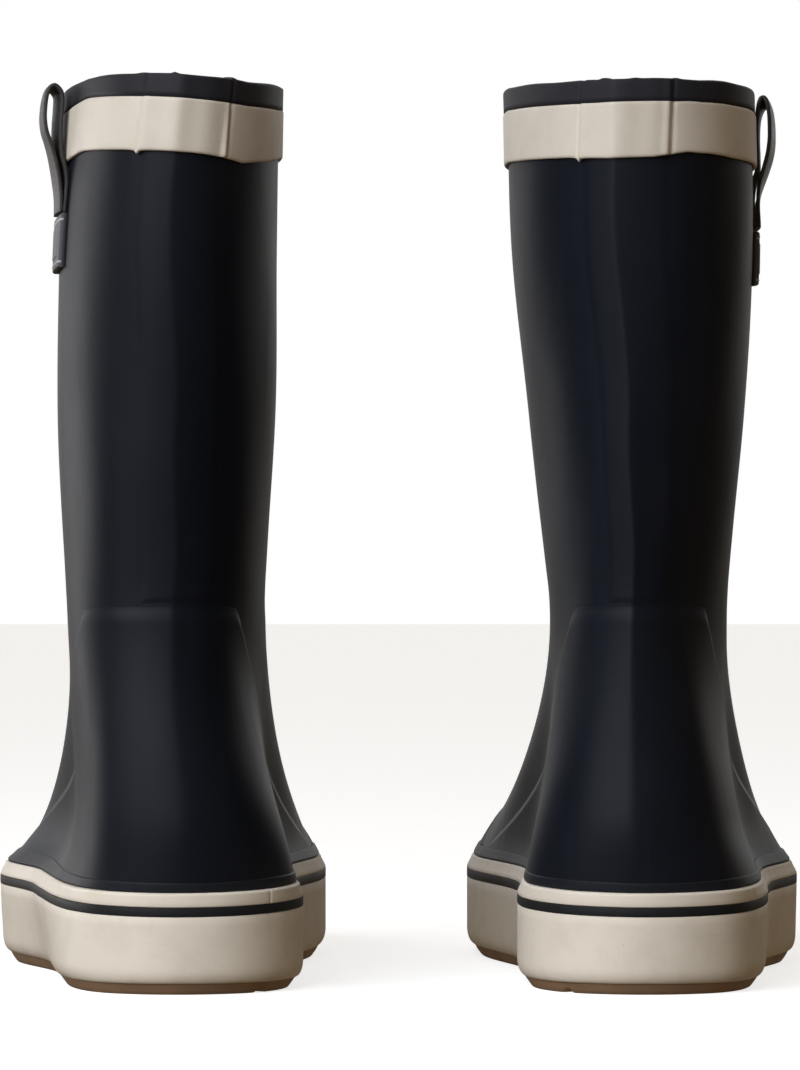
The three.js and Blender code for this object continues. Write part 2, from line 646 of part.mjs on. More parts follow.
// ---------------------------------------------------------------- colours and finishes
const finish = (color, roughness, metalness = 0) => new THREE.MeshStandardMaterial({ color, roughness, metalness });
const NAVY = 0x252832;
const CREAM = 0xd9d0c4;
const PIECES = {
  outsole: [outsole, () => finish(0x9a7f6c, 0.7)],
  sidewall: [sidewall, () => finish(CREAM, 0.5)],
  pinstripe: [pinstripe, () => finish(0x2b2b2c, 0.5)],
  bumper_strip: [bumperStrip, () => finish(0x2a2d37, 0.5)],
  midsole: [midsole, () => finish(0x8b8378, 0.9)],
  bottom_filler: [bottomFiller, () => finish(0xa08a6c, 0.95)],
  insole_board: [insoleBoard, () => finish(0xb39a75, 0.9)],
  footbed: [footbed, () => finish(0x6d7076, 0.95)],
  upper: [upper, () => finish(NAVY, 0.45)],
  lining: [lining, () => finish(0xb9b3a6, 0.95)],
  heel_counter: [heelCounter, () => finish(NAVY, 0.45)],
  toe_guard: [toeGuard, () => finish(NAVY, 0.45)],
  back_stay: [backStay, () => finish(NAVY, 0.45)],
  top_band: [topBand, () => finish(CREAM, 0.5)],
  rim_binding: [rimBinding, () => finish(0x32343b, 0.5)],
  loop_patch: [loopPatch, () => finish(0x55565b, 0.5)],
  pull_loop: [pullLoop, () => finish(0x3a3734, 0.6)],
};

// ---------------------------------------------------------------- the pair
function boot(name, stance) {
  const last = new THREE.Group();
  last.position.y = -HEEL_PIVOT;
  for (const [piece, [shape, material]] of Object.entries(PIECES)) {
    const mesh = new THREE.Mesh(shape(stance), material());
    mesh.name = `${name}_${piece}`;
    last.add(mesh);
  }
  const stood = new THREE.Group();
  stood.position.set(stance.heelX, HEEL_PIVOT, 0);
  stood.rotation.z = -stance.toeOut * DEGREE;
  stood.add(last);
  const sided = new THREE.Group();
  sided.scale.x = stance.side;
  sided.add(stood);
  return sided;
}

const pair = new THREE.Group();
for (const [name, stance] of Object.entries(STANCES)) pair.add(boot(name, stance));
pair.updateMatrixWorld(true);
const box = new THREE.Box3().setFromObject(pair, true);
pair.position.set(-(box.min.x + box.max.x) / 2, -(box.min.y + box.max.y) / 2, -box.min.z);

export default pair;
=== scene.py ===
# %% [markdown]
# # A pair of rubber deck boots
#
# This lesson dresses a finished, jointed model of two deck boots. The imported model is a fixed
# frame: its pieces say where everything is and what moves. Each visible piece is then made again
# as a fine surface, worked out with numpy as a function of two parameters, and given a finish
# built from shader nodes.

# %% Load the frame
import math

import bmesh
import bpy
import numpy as np
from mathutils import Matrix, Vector


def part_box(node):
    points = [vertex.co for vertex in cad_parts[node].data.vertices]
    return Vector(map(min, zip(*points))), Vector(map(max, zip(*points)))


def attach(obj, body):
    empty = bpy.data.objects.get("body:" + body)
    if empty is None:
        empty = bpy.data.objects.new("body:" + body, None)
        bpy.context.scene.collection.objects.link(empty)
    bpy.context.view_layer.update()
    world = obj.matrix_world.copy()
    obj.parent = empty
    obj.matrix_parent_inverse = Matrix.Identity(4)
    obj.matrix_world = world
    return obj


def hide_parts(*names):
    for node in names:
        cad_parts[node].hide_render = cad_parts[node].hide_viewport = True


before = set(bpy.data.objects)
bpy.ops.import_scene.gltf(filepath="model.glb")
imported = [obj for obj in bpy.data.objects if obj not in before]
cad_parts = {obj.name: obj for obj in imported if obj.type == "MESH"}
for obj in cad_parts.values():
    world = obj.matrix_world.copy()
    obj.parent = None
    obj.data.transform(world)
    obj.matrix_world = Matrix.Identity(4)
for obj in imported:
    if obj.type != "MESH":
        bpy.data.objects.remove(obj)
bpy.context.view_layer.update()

# %% [markdown]
# ## Sizes of the boot
#
# A boot of this kind is built on a last, so nearly every piece is a layer laid over one curved
# form. We could draw each layer by hand, but then none would lie true on the next. Instead one
# skin is defined by formula, and each piece is the space between two distances from it.
#
# All sizes are millimetres in the boot's own frame: x towards the outside of the foot, y forward
# from the back of the sidewall, z up from the ground.

# %% Named sizes
MM = 0.001
LENGTH, HEIGHT, ANKLE = 302.0, 315.0, 143.0
WALL_OUT = 3.6  # the sidewall's outer face, from the upper's wall
SIDEWALL_LOW, SIDEWALL_TOP_HEEL, SIDEWALL_TOP_TOE = 4.0, 34.9, 37.2
STRIPE_DROP, STRIPE_HEIGHT = 4.9, 3.2
BUMPER_HEIGHT = 3.6
OUTSOLE_THICK = 3.9
SEAT_HEEL, SEAT_FORE = 17.0, 11.5
FOOTBED_LOW, FOOTBED_THICK = 4.9, 4.3
BINDING_HEIGHT, BAND_HEIGHT = 8.4, 18.4
COUNTER_TOP = 133.0
HEEL_PIVOT = 42.0

# turns round the wall (in half turns from the toe, + outer side) and half widths
PLAN = [(-1, 0), (-0.88, -26.4), (-0.76, -38.9), (-0.55, -36), (-0.37, -49.5), (-0.21, -45.5), (-0.1, -28),
        (0, -3), (0.1, 22), (0.22, 45), (0.42, 62.5), (0.57, 45.5), (0.76, 38.9), (0.88, 26.4), (1, 0)]
LEG_DEPTH = [52, 58, 65, 70]  # half depths of four ovals, ankle to rim
LEG_BACK = [13, 9, 5, 3]  # y of the heel line at the same four
LEG_HALF = 38.0  # a typical half width, to turn degrees into millimetres

# How each boot stands. side, heel_x, toe_out: its side, the heel's distance from the middle, degrees
# turned out. half_width, lean, turn: of the four ovals, ankle to rim. tuck, flare: how far the foot is
# drawn in and the sidewall leans out at the outer waist. crest: the ridge's height and the fall past
# it. dip: how much the rim drops at its outer and inner side. stay: degrees to the inner and outer
# edge of the back strip. loop_angle, patch_drop, patch_tilt: where the loop's patch sits. heel_line:
# degrees that the line up the back is off, by rise. rim_line, band_high, band_low: small rises of the
# rim and of the band's two edges, by degrees from the heel line.
STANCES = {
    "left": dict(
        side=-1, heel_x=76.8, toe_out=1.6, phase=0.4, counter_turn=-8.0,
        half_width=[34.9, 38.2, 38.2, 37.0], lean=[5.0, 4.5, 4.5, 2.8], turn=[-6, -2, 2, 6],
        tuck=16.0, flare=4.5, crest=(1.6, 0.0), dip=(2.0, 0.3), stay=(24.5, 17.5),
        loop_angle=99.0, patch_drop=46.2, patch_tilt=5,
        heel_line=[(1, 0), (1.4, -4), (2, -13), (2.3, -7), (2.8, 3), (3, 4)],
        rim_line=[(-90, 0), (-64, -0.8), (-50, -1.3), (-32, -1.7), (-15, -1.0), (0, -0.3), (14, 0.3),
                  (34, 1.3), (50, 1.9), (60, 2.1), (80, 0.8), (110, 0)],
        band_high=[(-82, 0.5), (-64, -0.2), (34, 0.5), (56, 1.2), (80, 0)],
        band_low=[(-110, 0), (-82, 1.5), (-64, 0.8), (-50, -0.2), (-32, -1.3), (-20, -0.4), (-8, 0)]),
    "right": dict(
        side=1, heel_x=84.6, toe_out=-1.6, phase=2.1, counter_turn=0.0,
        half_width=[31.8, 37.5, 41.7, 41.3], lean=[-0.2, -0.1, -1.8, -3.6], turn=[0, -3, -5, -8],
        tuck=5.0, flare=2.0, crest=(2.2, 3.0), dip=(4.1, 1.6), stay=(15.5, 24.5),
        loop_angle=95.4, patch_drop=51.2, patch_tilt=-1,
        heel_line=[(1, -4), (1.4, -5), (2, -7), (2.3, -13), (2.8, -21), (3, -22)],
        rim_line=[(-120, 0), (-90, 1.2), (-64, 0.2), (-48, -0.6), (-30, -1.3), (-10, -1.4), (5, -1.5),
                  (19, -1.2), (34, -0.1), (53, 0.8), (61, 0.8), (75, 0.1), (90, -0.3), (120, 0)],
        band_high=[(-90, 0.3), (-20, 0.4), (3, 0.6), (12, 0.9), (22, 0.8), (40, 0.5), (80, 0.8), (110, 0)],
        band_low=[(-90, 0), (-40, 0), (-23, -0.9), (-4, -0.7), (4, 0.3), (12, 0.9), (24, 0.8), (40, 0.2),
                  (53, 0), (83, 0.4), (110, 0)]),
}
print("a boot is", LENGTH, "mm long and", HEIGHT, "mm high")

# %% [markdown]
# ## Curves through a few chosen points
#
# Two helpers carry all the shaping. One steps smoothly from station to station, the other is a
# cubic that passes through its points. Both take whole arrays, so a surface of fifty thousand
# points costs no more code than one point.

# %% Interpolation
def smooth(t):
    """Smooth step: three t squared less two t cubed, t kept between 0 and 1."""
    t = np.clip(t, 0.0, 1.0)
    return t * t * (3 - 2 * t)


def bump(x, centre, width):
    """A soft hump: e to the power of minus the squared distance over the squared width."""
    return np.exp(-(((x - centre) / width) ** 2))


def stations(x, knots):
    """From each station's value to the next along a smooth step."""
    x = np.asarray(x, float)
    value = np.full(x.shape, float(knots[0][1]))
    for (x0, v0), (x1, v1) in zip(knots[:-1], knots[1:]):
        value = np.where(x >= x0, v0 + (v1 - v0) * smooth((x - x0) / (x1 - x0)), value)
    return value


def through(xs, ys, x):
    """Cubic through the points: each span blends its end values and slopes, and the slope at a
    point is the rise between its two neighbours over their distance."""
    xs, ys, x = np.asarray(xs, float), np.asarray(ys, float), np.asarray(x, float)
    last = len(xs) - 1
    before, after = np.maximum(np.arange(last + 1) - 1, 0), np.minimum(np.arange(last + 1) + 1, last)
    slope = (ys[after] - ys[before]) / (xs[after] - xs[before])
    i = np.clip(np.searchsorted(xs, x, side="left") - 1, 0, last - 1)
    h = xs[i + 1] - xs[i]
    t = (x - xs[i]) / h
    return ((2 * t**3 - 3 * t**2 + 1) * ys[i] + (t**3 - 2 * t**2 + t) * h * slope[i]
            + (3 * t**2 - 2 * t**3) * ys[i + 1] + (t**3 - t**2) * h * slope[i + 1])


# %% [markdown]
# ## The skin of a boot
#
# The skin has two parameters. The angle goes round: 0 at the toe, a quarter turn at the outer
# side, half a turn at the heel. The rise goes up a meridian: 0 to 1 up the wall behind the
# sidewall, 1 to 2 over the foot, 2 to 3 up the leg. The foot part is a quartic curve between the
# wall and the leg, the leg a stack of ovals that leans and turns as each boot really stands.
# A few tenths of a millimetre of waviness keep the rubber from looking machined.

# %% The boot's form
def heel_side(angle):
    """Degrees from the heel line, + towards the outer side."""
    return -(np.degrees(angle) % 360 - 180)


def along_heel(knots, angle):
    """Values given at degrees from the heel line, with straight runs between."""
    where, value = np.array(knots, float).T
    return np.interp(heel_side(angle), where, value)


class Boot:
    """One boot's form and stance. Lengths in millimetres in the boot's own frame."""

    def __init__(self, name):
        self.name = name
        self.__dict__.update(STANCES[name])
        turns, xs = np.array(PLAN, float).T
        self.plan_turns = np.concatenate([turns[-3:-1] - 2, turns, turns[1:3] + 2])
        self.plan_xs = np.concatenate([xs[-3:-1], xs, xs[1:3]])
        self.shift = np.zeros(3)

    def wall(self, angle):
        """Plan of the wall: y goes as the cosine of the angle, x by the chosen half widths."""
        turn = (np.asarray(angle, float) / np.pi + 1) % 2 - 1
        half = LENGTH / 2 - WALL_OUT
        return np.stack([through(self.plan_turns, self.plan_xs, turn), LENGTH / 2 + half * np.cos(angle)], -1)

    def outline(self, angle, offset=0.0, z=40.0):
        """The wall's plan moved out by an offset along its own normal. At the waist's outer side
        the wall leans out as it rises, so that its top is fuller than its foot."""
        step = 1e-3
        along = self.wall(angle + step) - self.wall(angle - step)
        along /= np.linalg.norm(along, axis=-1, keepdims=True)
        normal = np.stack([-along[..., 1], along[..., 0]], -1)
        lean = self.flare * bump(np.degrees(angle) % 360, 104, 24) * smooth(np.asarray(z) / 32.0)
        return self.wall(angle) + normal * (np.asarray(offset) + lean)[..., None]

    def sidewall_top(self, angle):
        """Lowest at the back of the heel. It rises quickly to the heel's sides, then hardly at all."""
        forward = (1 + np.cos(angle)) / 2
        return SIDEWALL_TOP_HEEL + (SIDEWALL_TOP_TOE - SIDEWALL_TOP_HEEL) * (1 - np.exp(-forward / 0.13))

    def rim(self, angle):
        """Height of the rim: it dips with the square of the sine towards each side."""
        s = np.sin(angle)
        return HEIGHT - np.where(s > 0, self.dip[0], self.dip[1]) * s * s + along_heel(self.rim_line, angle)

    def leg(self, angle, z):
        """An oval whose half width, half depth, lean and turn change with height."""
        heights = np.linspace(ANKLE, HEIGHT, 4)
        width, depth = through(heights, self.half_width, z), through(heights, LEG_DEPTH, z)
        turn = np.radians(through(heights, self.turn, z))
        s, c = np.sin(angle), np.cos(angle)
        x = width * np.sign(s) * np.abs(s) ** 0.95
        y = depth * c
        return np.stack([x * np.cos(turn) + y * np.sin(turn) + through(heights, self.lean, z),
                         y * np.cos(turn) - x * np.sin(turn) + through(heights, LEG_BACK, z) + depth,
                         z + 0 * x], -1)

    def foot(self, angle, t):
        """Quartic curve from the sidewall's top, where it starts up the wall, to the ankle, where
        it ends along the leg: the five control points are blended by the binomial weights. The
        second one is drawn in at the outer waist after the third is worked out from it."""
        away = np.abs(np.arctan2(np.sin(angle), np.cos(angle))) / np.pi
        p0 = np.concatenate([self.outline(angle), self.sidewall_top(angle)[..., None]], -1)
        out = stations(away, [(0, 2), (0.3, -8), (0.5, -6.5), (0.72, -2.5), (1, 2.5)])
        up = stations(away, [(0, 36), (0.3, 15), (0.5, 12), (1, 26)])
        p1 = np.concatenate([self.outline(angle, out), p0[..., 2:] + up[..., None]], -1)
        ankle = np.full(np.shape(angle), ANKLE)
        p4 = self.leg(angle, ankle)
        along = (self.leg(angle, ankle + 2) - p4) / 2
        p3 = p4 - along * stations(away, [(0, 36), (0.5, 28), (1, 30)])[..., None]
        p2 = p1 + (p3 - p1) * stations(away, [(0, 0.72), (0.5, 0.5), (1, 0.5)])[..., None]
        p2[..., 2] += stations(away, [(0, -13), (0.3, -12), (0.5, -2), (0.75, 0), (1, 0)])
        slim = stations(away, [(0, 0), (0.3, 3), (0.5, 3), (0.8, 0), (1, 0)])
        p2[..., 0] -= np.where(p2[..., 0] > 0, slim, 0)
        tuck = self.tuck * bump(np.degrees(angle) % 360, 100, 38)
        p1[..., :2] = self.outline(angle, out - tuck)
        t = np.asarray(t)[..., None]
        u = 1 - t
        return u**4 * p0 + 4 * t * u**3 * p1 + 6 * t**2 * u**2 * p2 + 4 * t**3 * u * p3 + t**4 * p4

    def form(self, angle, rise):
        """The skin without its waviness: wall, foot or leg, by the rise."""
        angle, rise = np.broadcast_arrays(np.asarray(angle, float), np.asarray(rise, float))
        up_wall = rise * self.sidewall_top(angle)
        wall = np.concatenate([self.outline(angle, 0.0, up_wall), up_wall[..., None]], -1)
        foot = self.foot(angle, np.clip(rise - 1, 0, 1))
        leg = self.leg(angle, ANKLE + np.maximum(rise - 2, 0) * (HEIGHT - ANKLE))
        return np.where(rise[..., None] < 1, wall, np.where(rise[..., None] < 2, foot, leg))

    def ridge(self, angle, rise):
        """A ridge down the back where the two halves of the mould met: two flat slopes that meet
        in a line, e to the power of minus the distance from it. Past it, towards the outer side,
        the skin may fall away and come back before the boot's side."""
        line = stations(rise, self.heel_line)
        away = np.radians((heel_side(angle) - line + 180) % 360 - 180) * LEG_HALF
        past = np.maximum(away, 0)
        return (self.crest[0] * np.exp(-(np.sqrt(away**2 + 0.3) - 0.5) / 9.0)
                - self.crest[1] * (1 - np.exp(-past / 12.0)) * smooth((62 - past) / 40))

    def waviness(self, angle, rise):
        """The ridge, slow waves of a third of a millimetre over the leg, and shallow creases that
        run round the front of the ankle where the boot bends. Nothing near the sidewall."""
        p = self.phase
        slow = (0.26 * np.sin(3 * angle + 4.1 * rise + p) + 0.20 * np.sin(5 * angle - 6.3 * rise + 2 * p)
                + 0.10 * np.sin(9 * angle + 9.5 * rise + 3 * p))
        turn = np.arctan2(np.sin(angle), np.cos(angle))
        front = np.exp(-((turn / 0.9) ** 2))
        creases = (0.8 * bump(rise, 1.86 + 0.05 * np.cos(turn * 1.4 + p), 0.035)
                   - 1.0 * bump(rise, 1.95 + 0.04 * np.cos(turn * 1.7), 0.045)
                   + 0.6 * bump(rise, 2.06 - 0.05 * np.cos(turn * 1.3 + p), 0.045))
        ridge = self.ridge(angle, rise) * smooth((rise - 1.0) / 0.25)
        return (slow + creases * front) * smooth((rise - 1.08) / 0.4) + ridge

    def skin(self, angle, rise, offset=0.0):
        """A point of the form moved out along its normal by the offset and the waviness."""
        angle, rise, offset = np.broadcast_arrays(*(np.asarray(v, float) for v in (angle, rise, offset)))
        around = self.form(angle + 0.02, rise) - self.form(angle - 0.02, rise)
        upward = self.form(angle, rise + 0.01) - self.form(angle, rise - 0.01)
        normal = np.cross(upward, around)
        normal /= np.linalg.norm(normal, axis=-1, keepdims=True)
        return self.form(angle, rise) + normal * (offset + self.waviness(angle, rise))[..., None]

    def rise_at(self, angle, z):
        """The rise at which a meridian reaches a height, by halving the foot's span thirty times."""
        angle, z = np.broadcast_arrays(np.asarray(angle, float), np.asarray(z, float))
        top = self.sidewall_top(angle)
        low, high = np.full(angle.shape, 1.0), np.full(angle.shape, 2.0)
        for _ in range(30):
            middle = (low + high) / 2
            below = self.foot(angle, middle - 1)[..., 2] < z
            low, high = np.where(below, middle, low), np.where(below, high, middle)
        leg = 2 + (z - ANKLE) / (HEIGHT - ANKLE)
        return np.where(z <= top, z / top, np.where(z >= ANKLE, leg, low))

    def place(self, points):
        """From the boot's frame to the pair's: turned out about the heel, moved to its side,
        mirrored for the left boot, in metres."""
        turn = math.radians(self.toe_out)
        x, y = points[..., 0], points[..., 1] - HEEL_PIVOT
        placed = np.stack([self.side * (x * math.cos(turn) + y * math.sin(turn) + self.heel_x),
                           y * math.cos(turn) - x * math.sin(turn) + HEEL_PIVOT, points[..., 2]], -1)
        return (placed + self.shift) * MM

    def trim_low(self, angle):
        """Height at which the overlays of the foot begin, just above the bumper strip."""
        return self.sidewall_top(angle) + BUMPER_HEIGHT - 0.25


def seat(y):
    """Top of the midsole: level under the heel, lower from the waist forward."""
    return SEAT_HEEL + (SEAT_FORE - SEAT_HEEL) * smooth((y / LENGTH - 0.25) / 0.4)


BOOTS = [Boot("left"), Boot("right")]

# %% [markdown]
# The frame holds the pair centred on its box. The formula's own sidewall, sampled at the same
# 36 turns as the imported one, shows how far each boot was moved to get there.

# %% Line the formula up with the frame
for boot in BOOTS:
    ring = boot.outline(np.arange(36) * 2 * np.pi / 36, WALL_OUT)
    own = boot.place(np.concatenate([ring, 0 * ring[:, :1]], -1))
    low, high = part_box(f"{boot.name}_sidewall")
    middle = (own.min(0) + own.max(0)) / 2
    boot.shift = np.array([(low[0] + high[0]) / 2 - middle[0], (low[1] + high[1]) / 2 - middle[1], 0]) / MM
    print(boot.name, "moved by", np.round(boot.shift, 3), "mm")

# %% [markdown]
# ## From arrays to meshes
#
# Every piece is a grid of points closed in one or both directions. A ring carries a closed section
# round the boot. A patch has an upper and a lower face that meet in a rounded edge. Both become
# quads with a UV map measured in metres, so that a pattern keeps its size on every piece.

# %% Mesh builders
def volume_of(points, quads):
    """Six times the volume that the quads enclose, negative when they face inwards."""
    a, b, c, d = (points[quads[:, k]] for k in range(4))
    return (np.cross(a, b) * c).sum() + (np.cross(a, c) * d).sum()


def grid_mesh(name, points, lengths, close_u):
    """Quads between neighbours of a (columns, rows, 3) array, closed along its rows, and along its
    columns where asked. UVs are the given lengths (columns, rows and the wrap) in metres."""
    nu, nv = points.shape[:2]
    i, j = np.meshgrid(np.arange(nu if close_u else nu - 1), np.arange(nv), indexing="ij")
    i, j = i.ravel(), j.ravel()
    corners_i = np.stack([i, i + 1, i + 1, i], 1)
    corners_j = np.stack([j, j, j + 1, j + 1], 1)
    quads = (corners_i % nu) * nv + corners_j % nv
    flat = points.reshape(-1, 3)
    uv = np.stack([lengths[0][corners_i], lengths[1][corners_j]], -1)
    if volume_of(flat, quads) < 0:
        quads, uv = quads[:, ::-1], uv[:, ::-1]
    mesh = bpy.data.meshes.new(name)
    mesh.vertices.add(len(flat))
    mesh.vertices.foreach_set("co", flat.astype(np.float32).ravel())
    mesh.loops.add(quads.size)
    mesh.loops.foreach_set("vertex_index", quads.astype(np.int32).ravel())
    mesh.polygons.add(len(quads))
    mesh.polygons.foreach_set("loop_start", np.arange(0, quads.size, 4, dtype=np.int32))
    mesh.polygons.foreach_set("loop_total", np.full(len(quads), 4, dtype=np.int32))
    mesh.update(calc_edges=True)
    layer = mesh.uv_layers.new(name="UVMap")
    layer.data.foreach_set("uv", uv.astype(np.float32).ravel())
    mesh.polygons.foreach_set("use_smooth", np.ones(len(quads), dtype=bool))
    return mesh


def weld(mesh):
    """Merges points that coincide and drops the faces that this closes up."""
    work = bmesh.new()
    work.from_mesh(mesh)
    bmesh.ops.remove_doubles(work, verts=work.verts, dist=2e-6)
    bmesh.ops.dissolve_degenerate(work, edges=work.edges, dist=1e-7)
    work.to_mesh(mesh)
    work.free()
    return mesh


def close_ends(mesh, caps):
    """Adds the faces that close the two ends of a sweep, each a list of point numbers, and turns
    every face outwards. Strips of four points are shaded smooth, a whole end is flat."""
    work = bmesh.new()
    work.from_mesh(mesh)
    work.verts.ensure_lookup_table()
    for cap in caps:
        work.faces.new([work.verts[k] for k in cap]).smooth = len(cap) == 4
    bmesh.ops.recalc_face_normals(work, faces=work.faces)
    work.to_mesh(mesh)
    work.free()


def running(line):
    """Length along a line of points, from 0 at its first."""
    return np.concatenate([[0], np.cumsum(np.linalg.norm(np.diff(line, axis=0), axis=1))])


def lengths_of(points):
    """Running length along the first and second direction, taken on middle rows, one step longer
    than the grid so that a closed direction has its last stretch."""
    rows, columns = points.shape[1] // 2, points.shape[0] // 2
    along = np.vstack([points[:, rows], points[:1, rows]])
    across = np.vstack([points[columns], points[columns, :1]])
    return running(along), running(across)


MADE = []


def add_piece(boot, piece, mesh, body="boot"):
    """Makes the object for one node of one boot, sets it to ride and to stand for its CAD node."""
    name = f"{boot.name}_{piece}"
    obj = bpy.data.objects.new(f"{name}_fine", mesh)
    bpy.context.collection.objects.link(obj)
    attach(obj, f"{boot.name}_{body}")
    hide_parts(name)
    MADE.append((obj, piece))
    print(f"{name}: {len(mesh.polygons)} faces")


def finish_piece(boot, piece, points, body="boot", close_u=True, welded=False, caps=()):
    """From a grid of points in the boot's frame to the finished piece."""
    placed = boot.place(points)
    mesh = grid_mesh(f"{boot.name}_{piece}_fine", placed, lengths_of(placed), close_u)
    if welded:
        weld(mesh)
    if caps:
        close_ends(mesh, caps)
    add_piece(boot, piece, mesh, body)


def edged(length, edge, count, fine=(0, 0.04, 0.15, 0.32, 0.55, 0.8)):
    """Places along a length: close together in the rounded edge at both ends, even between."""
    ends = np.array(fine) * edge
    return np.concatenate([ends, np.linspace(edge, length - edge, count), length - ends[::-1]])


def quarter(t):
    """Height of a quarter circle, 0 at t = 0 and 1 from t = 1 on."""
    return np.sqrt(1 - (1 - np.clip(t, 0, 1)) ** 2)


def rounded_section(u0, u1, v0, v1, radius, arc, sides):
    """A rectangle with rounded corners as a closed list of (u, v), going round once. Its flat
    stretches along u and along v are cut into as many parts as sides says."""
    corners = [(u1 - radius, v1 - radius, 0), (u0 + radius, v1 - radius, 90),
               (u0 + radius, v0 + radius, 180), (u1 - radius, v0 + radius, 270)]
    turn = np.radians(np.linspace(0, 90, arc))
    loop = []
    for k, (cu, cv, start) in enumerate(corners):
        t = turn + math.radians(start)
        loop.append(np.stack([cu + radius * np.cos(t), cv + radius * np.sin(t)], -1))
        next_u, next_v, next_start = corners[(k + 1) % 4]
        t = math.radians(next_start)
        a = loop[-1][-1]
        b = np.array([next_u + radius * math.cos(t), next_v + radius * math.sin(t)])
        share = np.linspace(0, 1, sides[k % 2] + 1)[1:-1, None]
        loop.append(a + (b - a) * share)
    return np.concatenate(loop)


def columns_with(count, marks=(), spread=(-1.2, -0.6, -0.25, -0.1, 0, 0.1, 0.25, 0.6, 1.2)):
    """Angles round the boot, even, with extra ones close to each mark (degrees)."""
    even = np.linspace(0, 2 * np.pi, count, endpoint=False)
    extra = [math.radians(m + s) for m in marks for s in spread]
    return np.unique(np.round(np.concatenate([even, extra]) % (2 * np.pi), 6))

# %% [markdown]
# ## The upper and its lining
#
# The leg and foot are one skin of dipped and moulded rubber about two millimetres thick, with a
# knit sock bonded inside. The outside carries all the detail; the inside and the turned-in lower
# edge stay plain because the lining and the insole cover them.

# %% Upper and lining
def meridian_rises(boot, angle, low, rows_foot, rows_leg, top_drop):
    """Rises from a height up over foot and leg to just below the rim, as (angles, rows)."""
    start = boot.rise_at(angle, low)[:, None]
    top = boot.rise_at(angle, boot.rim(angle) - top_drop)[:, None]
    foot = 1 + np.linspace(0, 1, rows_foot, endpoint=False)[None, :] + 0 * start
    leg = 2 + (top - 2) * np.linspace(0, 1, rows_leg)[None, :]
    return np.concatenate([start, foot, leg], 1)


def make_upper(boot):
    angle = columns_with(300)
    edge = boot.outline(angle, -2.0)
    low = seat(edge[:, 1]) + 0.3
    outer = meridian_rises(boot, angle, low, 60, 96, 1.5)
    inner = meridian_rises(boot, angle, low + 2, 14, 16, 1.5)
    outside = boot.skin(angle[:, None], outer)
    inside = boot.skin(angle[:, None], inner, -2.0)
    margin = boot.outline(angle, -14.0)
    floor = seat(margin[:, 1]) + 0.3
    lip = [np.concatenate([margin, (floor + h)[:, None]], 1)[:, None] for h in (2.0, 0.0)]
    finish_piece(boot, "upper", np.concatenate([outside, inside[:, ::-1], *lip], 1))


def make_lining(boot):
    angle = columns_with(240)
    edge = boot.outline(angle, -3.3)
    rises = meridian_rises(boot, angle, seat(edge[:, 1]) + 2.6, 40, 56, 1.6)
    coarse = rises[:, ::4]
    outside = boot.skin(angle[:, None], coarse, -2.3)
    inside = boot.skin(angle[:, None], rises, -3.3)
    finish_piece(boot, "lining", np.concatenate([inside, outside[:, ::-1]], 1))


for boot in BOOTS:
    make_upper(boot)
    make_lining(boot)

# %% [markdown]
# ## Overlays on the foot and leg
#
# The heel counter, the toe guard and the strip up the back are thin sheets of the same rubber laid
# on before curing. Their edges melt into a soft step, so each is a patch whose thickness follows
# the smooth step near its edges.

# %% Counter, toe guard and back strip
SINK = -0.05  # where an overlay's underside lies: this far into the skin


def make_patch(boot, piece, angle, low, high, thick, edge, rows, round_low=False, line=None):
    """A sheet between two heights given per column. Its thickness rises by a smooth step from
    every edge that is rounded. With a line its columns follow that line up the boot."""
    first, last = boot.rise_at(angle, low), boot.rise_at(angle, high)
    share = edged(1.0, min(0.3, edge / float(np.mean(high - low))), rows)
    rise = first[:, None] + (last - first)[:, None] * share[None, :]
    height = (high - low)[:, None] * np.ones_like(share)[None, :]
    from_top, from_low = (1 - share)[None, :] * height, share[None, :] * height
    run = running(boot.skin(angle, (first + last) / 2))
    from_side = np.minimum(run, run[-1] - run)[:, None]
    near = np.minimum(from_top, from_side)
    if round_low:
        near = np.minimum(near, from_low)
    turned = angle[:, None] - (np.radians(stations(rise, line)) if line else 0 * rise)
    outer = boot.skin(turned, rise, thick * smooth(near / edge))
    inner = boot.skin(turned, rise, SINK)
    if not round_low:
        outer[:, 0] = boot.skin(angle, first, thick * smooth(from_side[:, 0] / edge))
    inner[[0, -1]] = outer[[0, -1]]
    inner[:, -1] = outer[:, -1]
    if round_low:
        inner[:, 0] = outer[:, 0]
    finish_piece(boot, piece, np.concatenate([outer, inner[:, ::-1]], 1), close_u=False, welded=True)


def side_columns(first, last, edge_degrees, count):
    """Angles between two turns in degrees, closer together near both ends."""
    return np.radians(first + edged(last - first, edge_degrees, count))


COUNTER_LEVEL, COUNTER_FRONT = 50, 110  # degrees from the heel line: level to here, ends there
COUNTER_TOE = 3.0  # its height where it ends
GUARD_FRONT, GUARD_RISE = 60, 21  # degrees from the tip to the guard's ends, its height at the tip


def make_counter(boot):
    """Level across the back, then the top runs down and forward to almost nothing."""
    angle = side_columns(180 - COUNTER_FRONT, 180 + COUNTER_FRONT, 1.5, 150)
    side = heel_side(angle)
    turned = side - boot.counter_turn * bump(side, 0, 80)
    front = (np.abs(turned) - COUNTER_LEVEL) / (COUNTER_FRONT - COUNTER_LEVEL)
    ease = np.sqrt(front**2 + 0.0012) / 2 + front / 2
    low = boot.trim_low(angle)
    high = low + COUNTER_TOE + (COUNTER_TOP - low - COUNTER_TOE) * (1 - np.clip(ease, 0, 1) ** 0.8)
    make_patch(boot, "heel_counter", angle, low, high, 0.8, 4.2, 60)


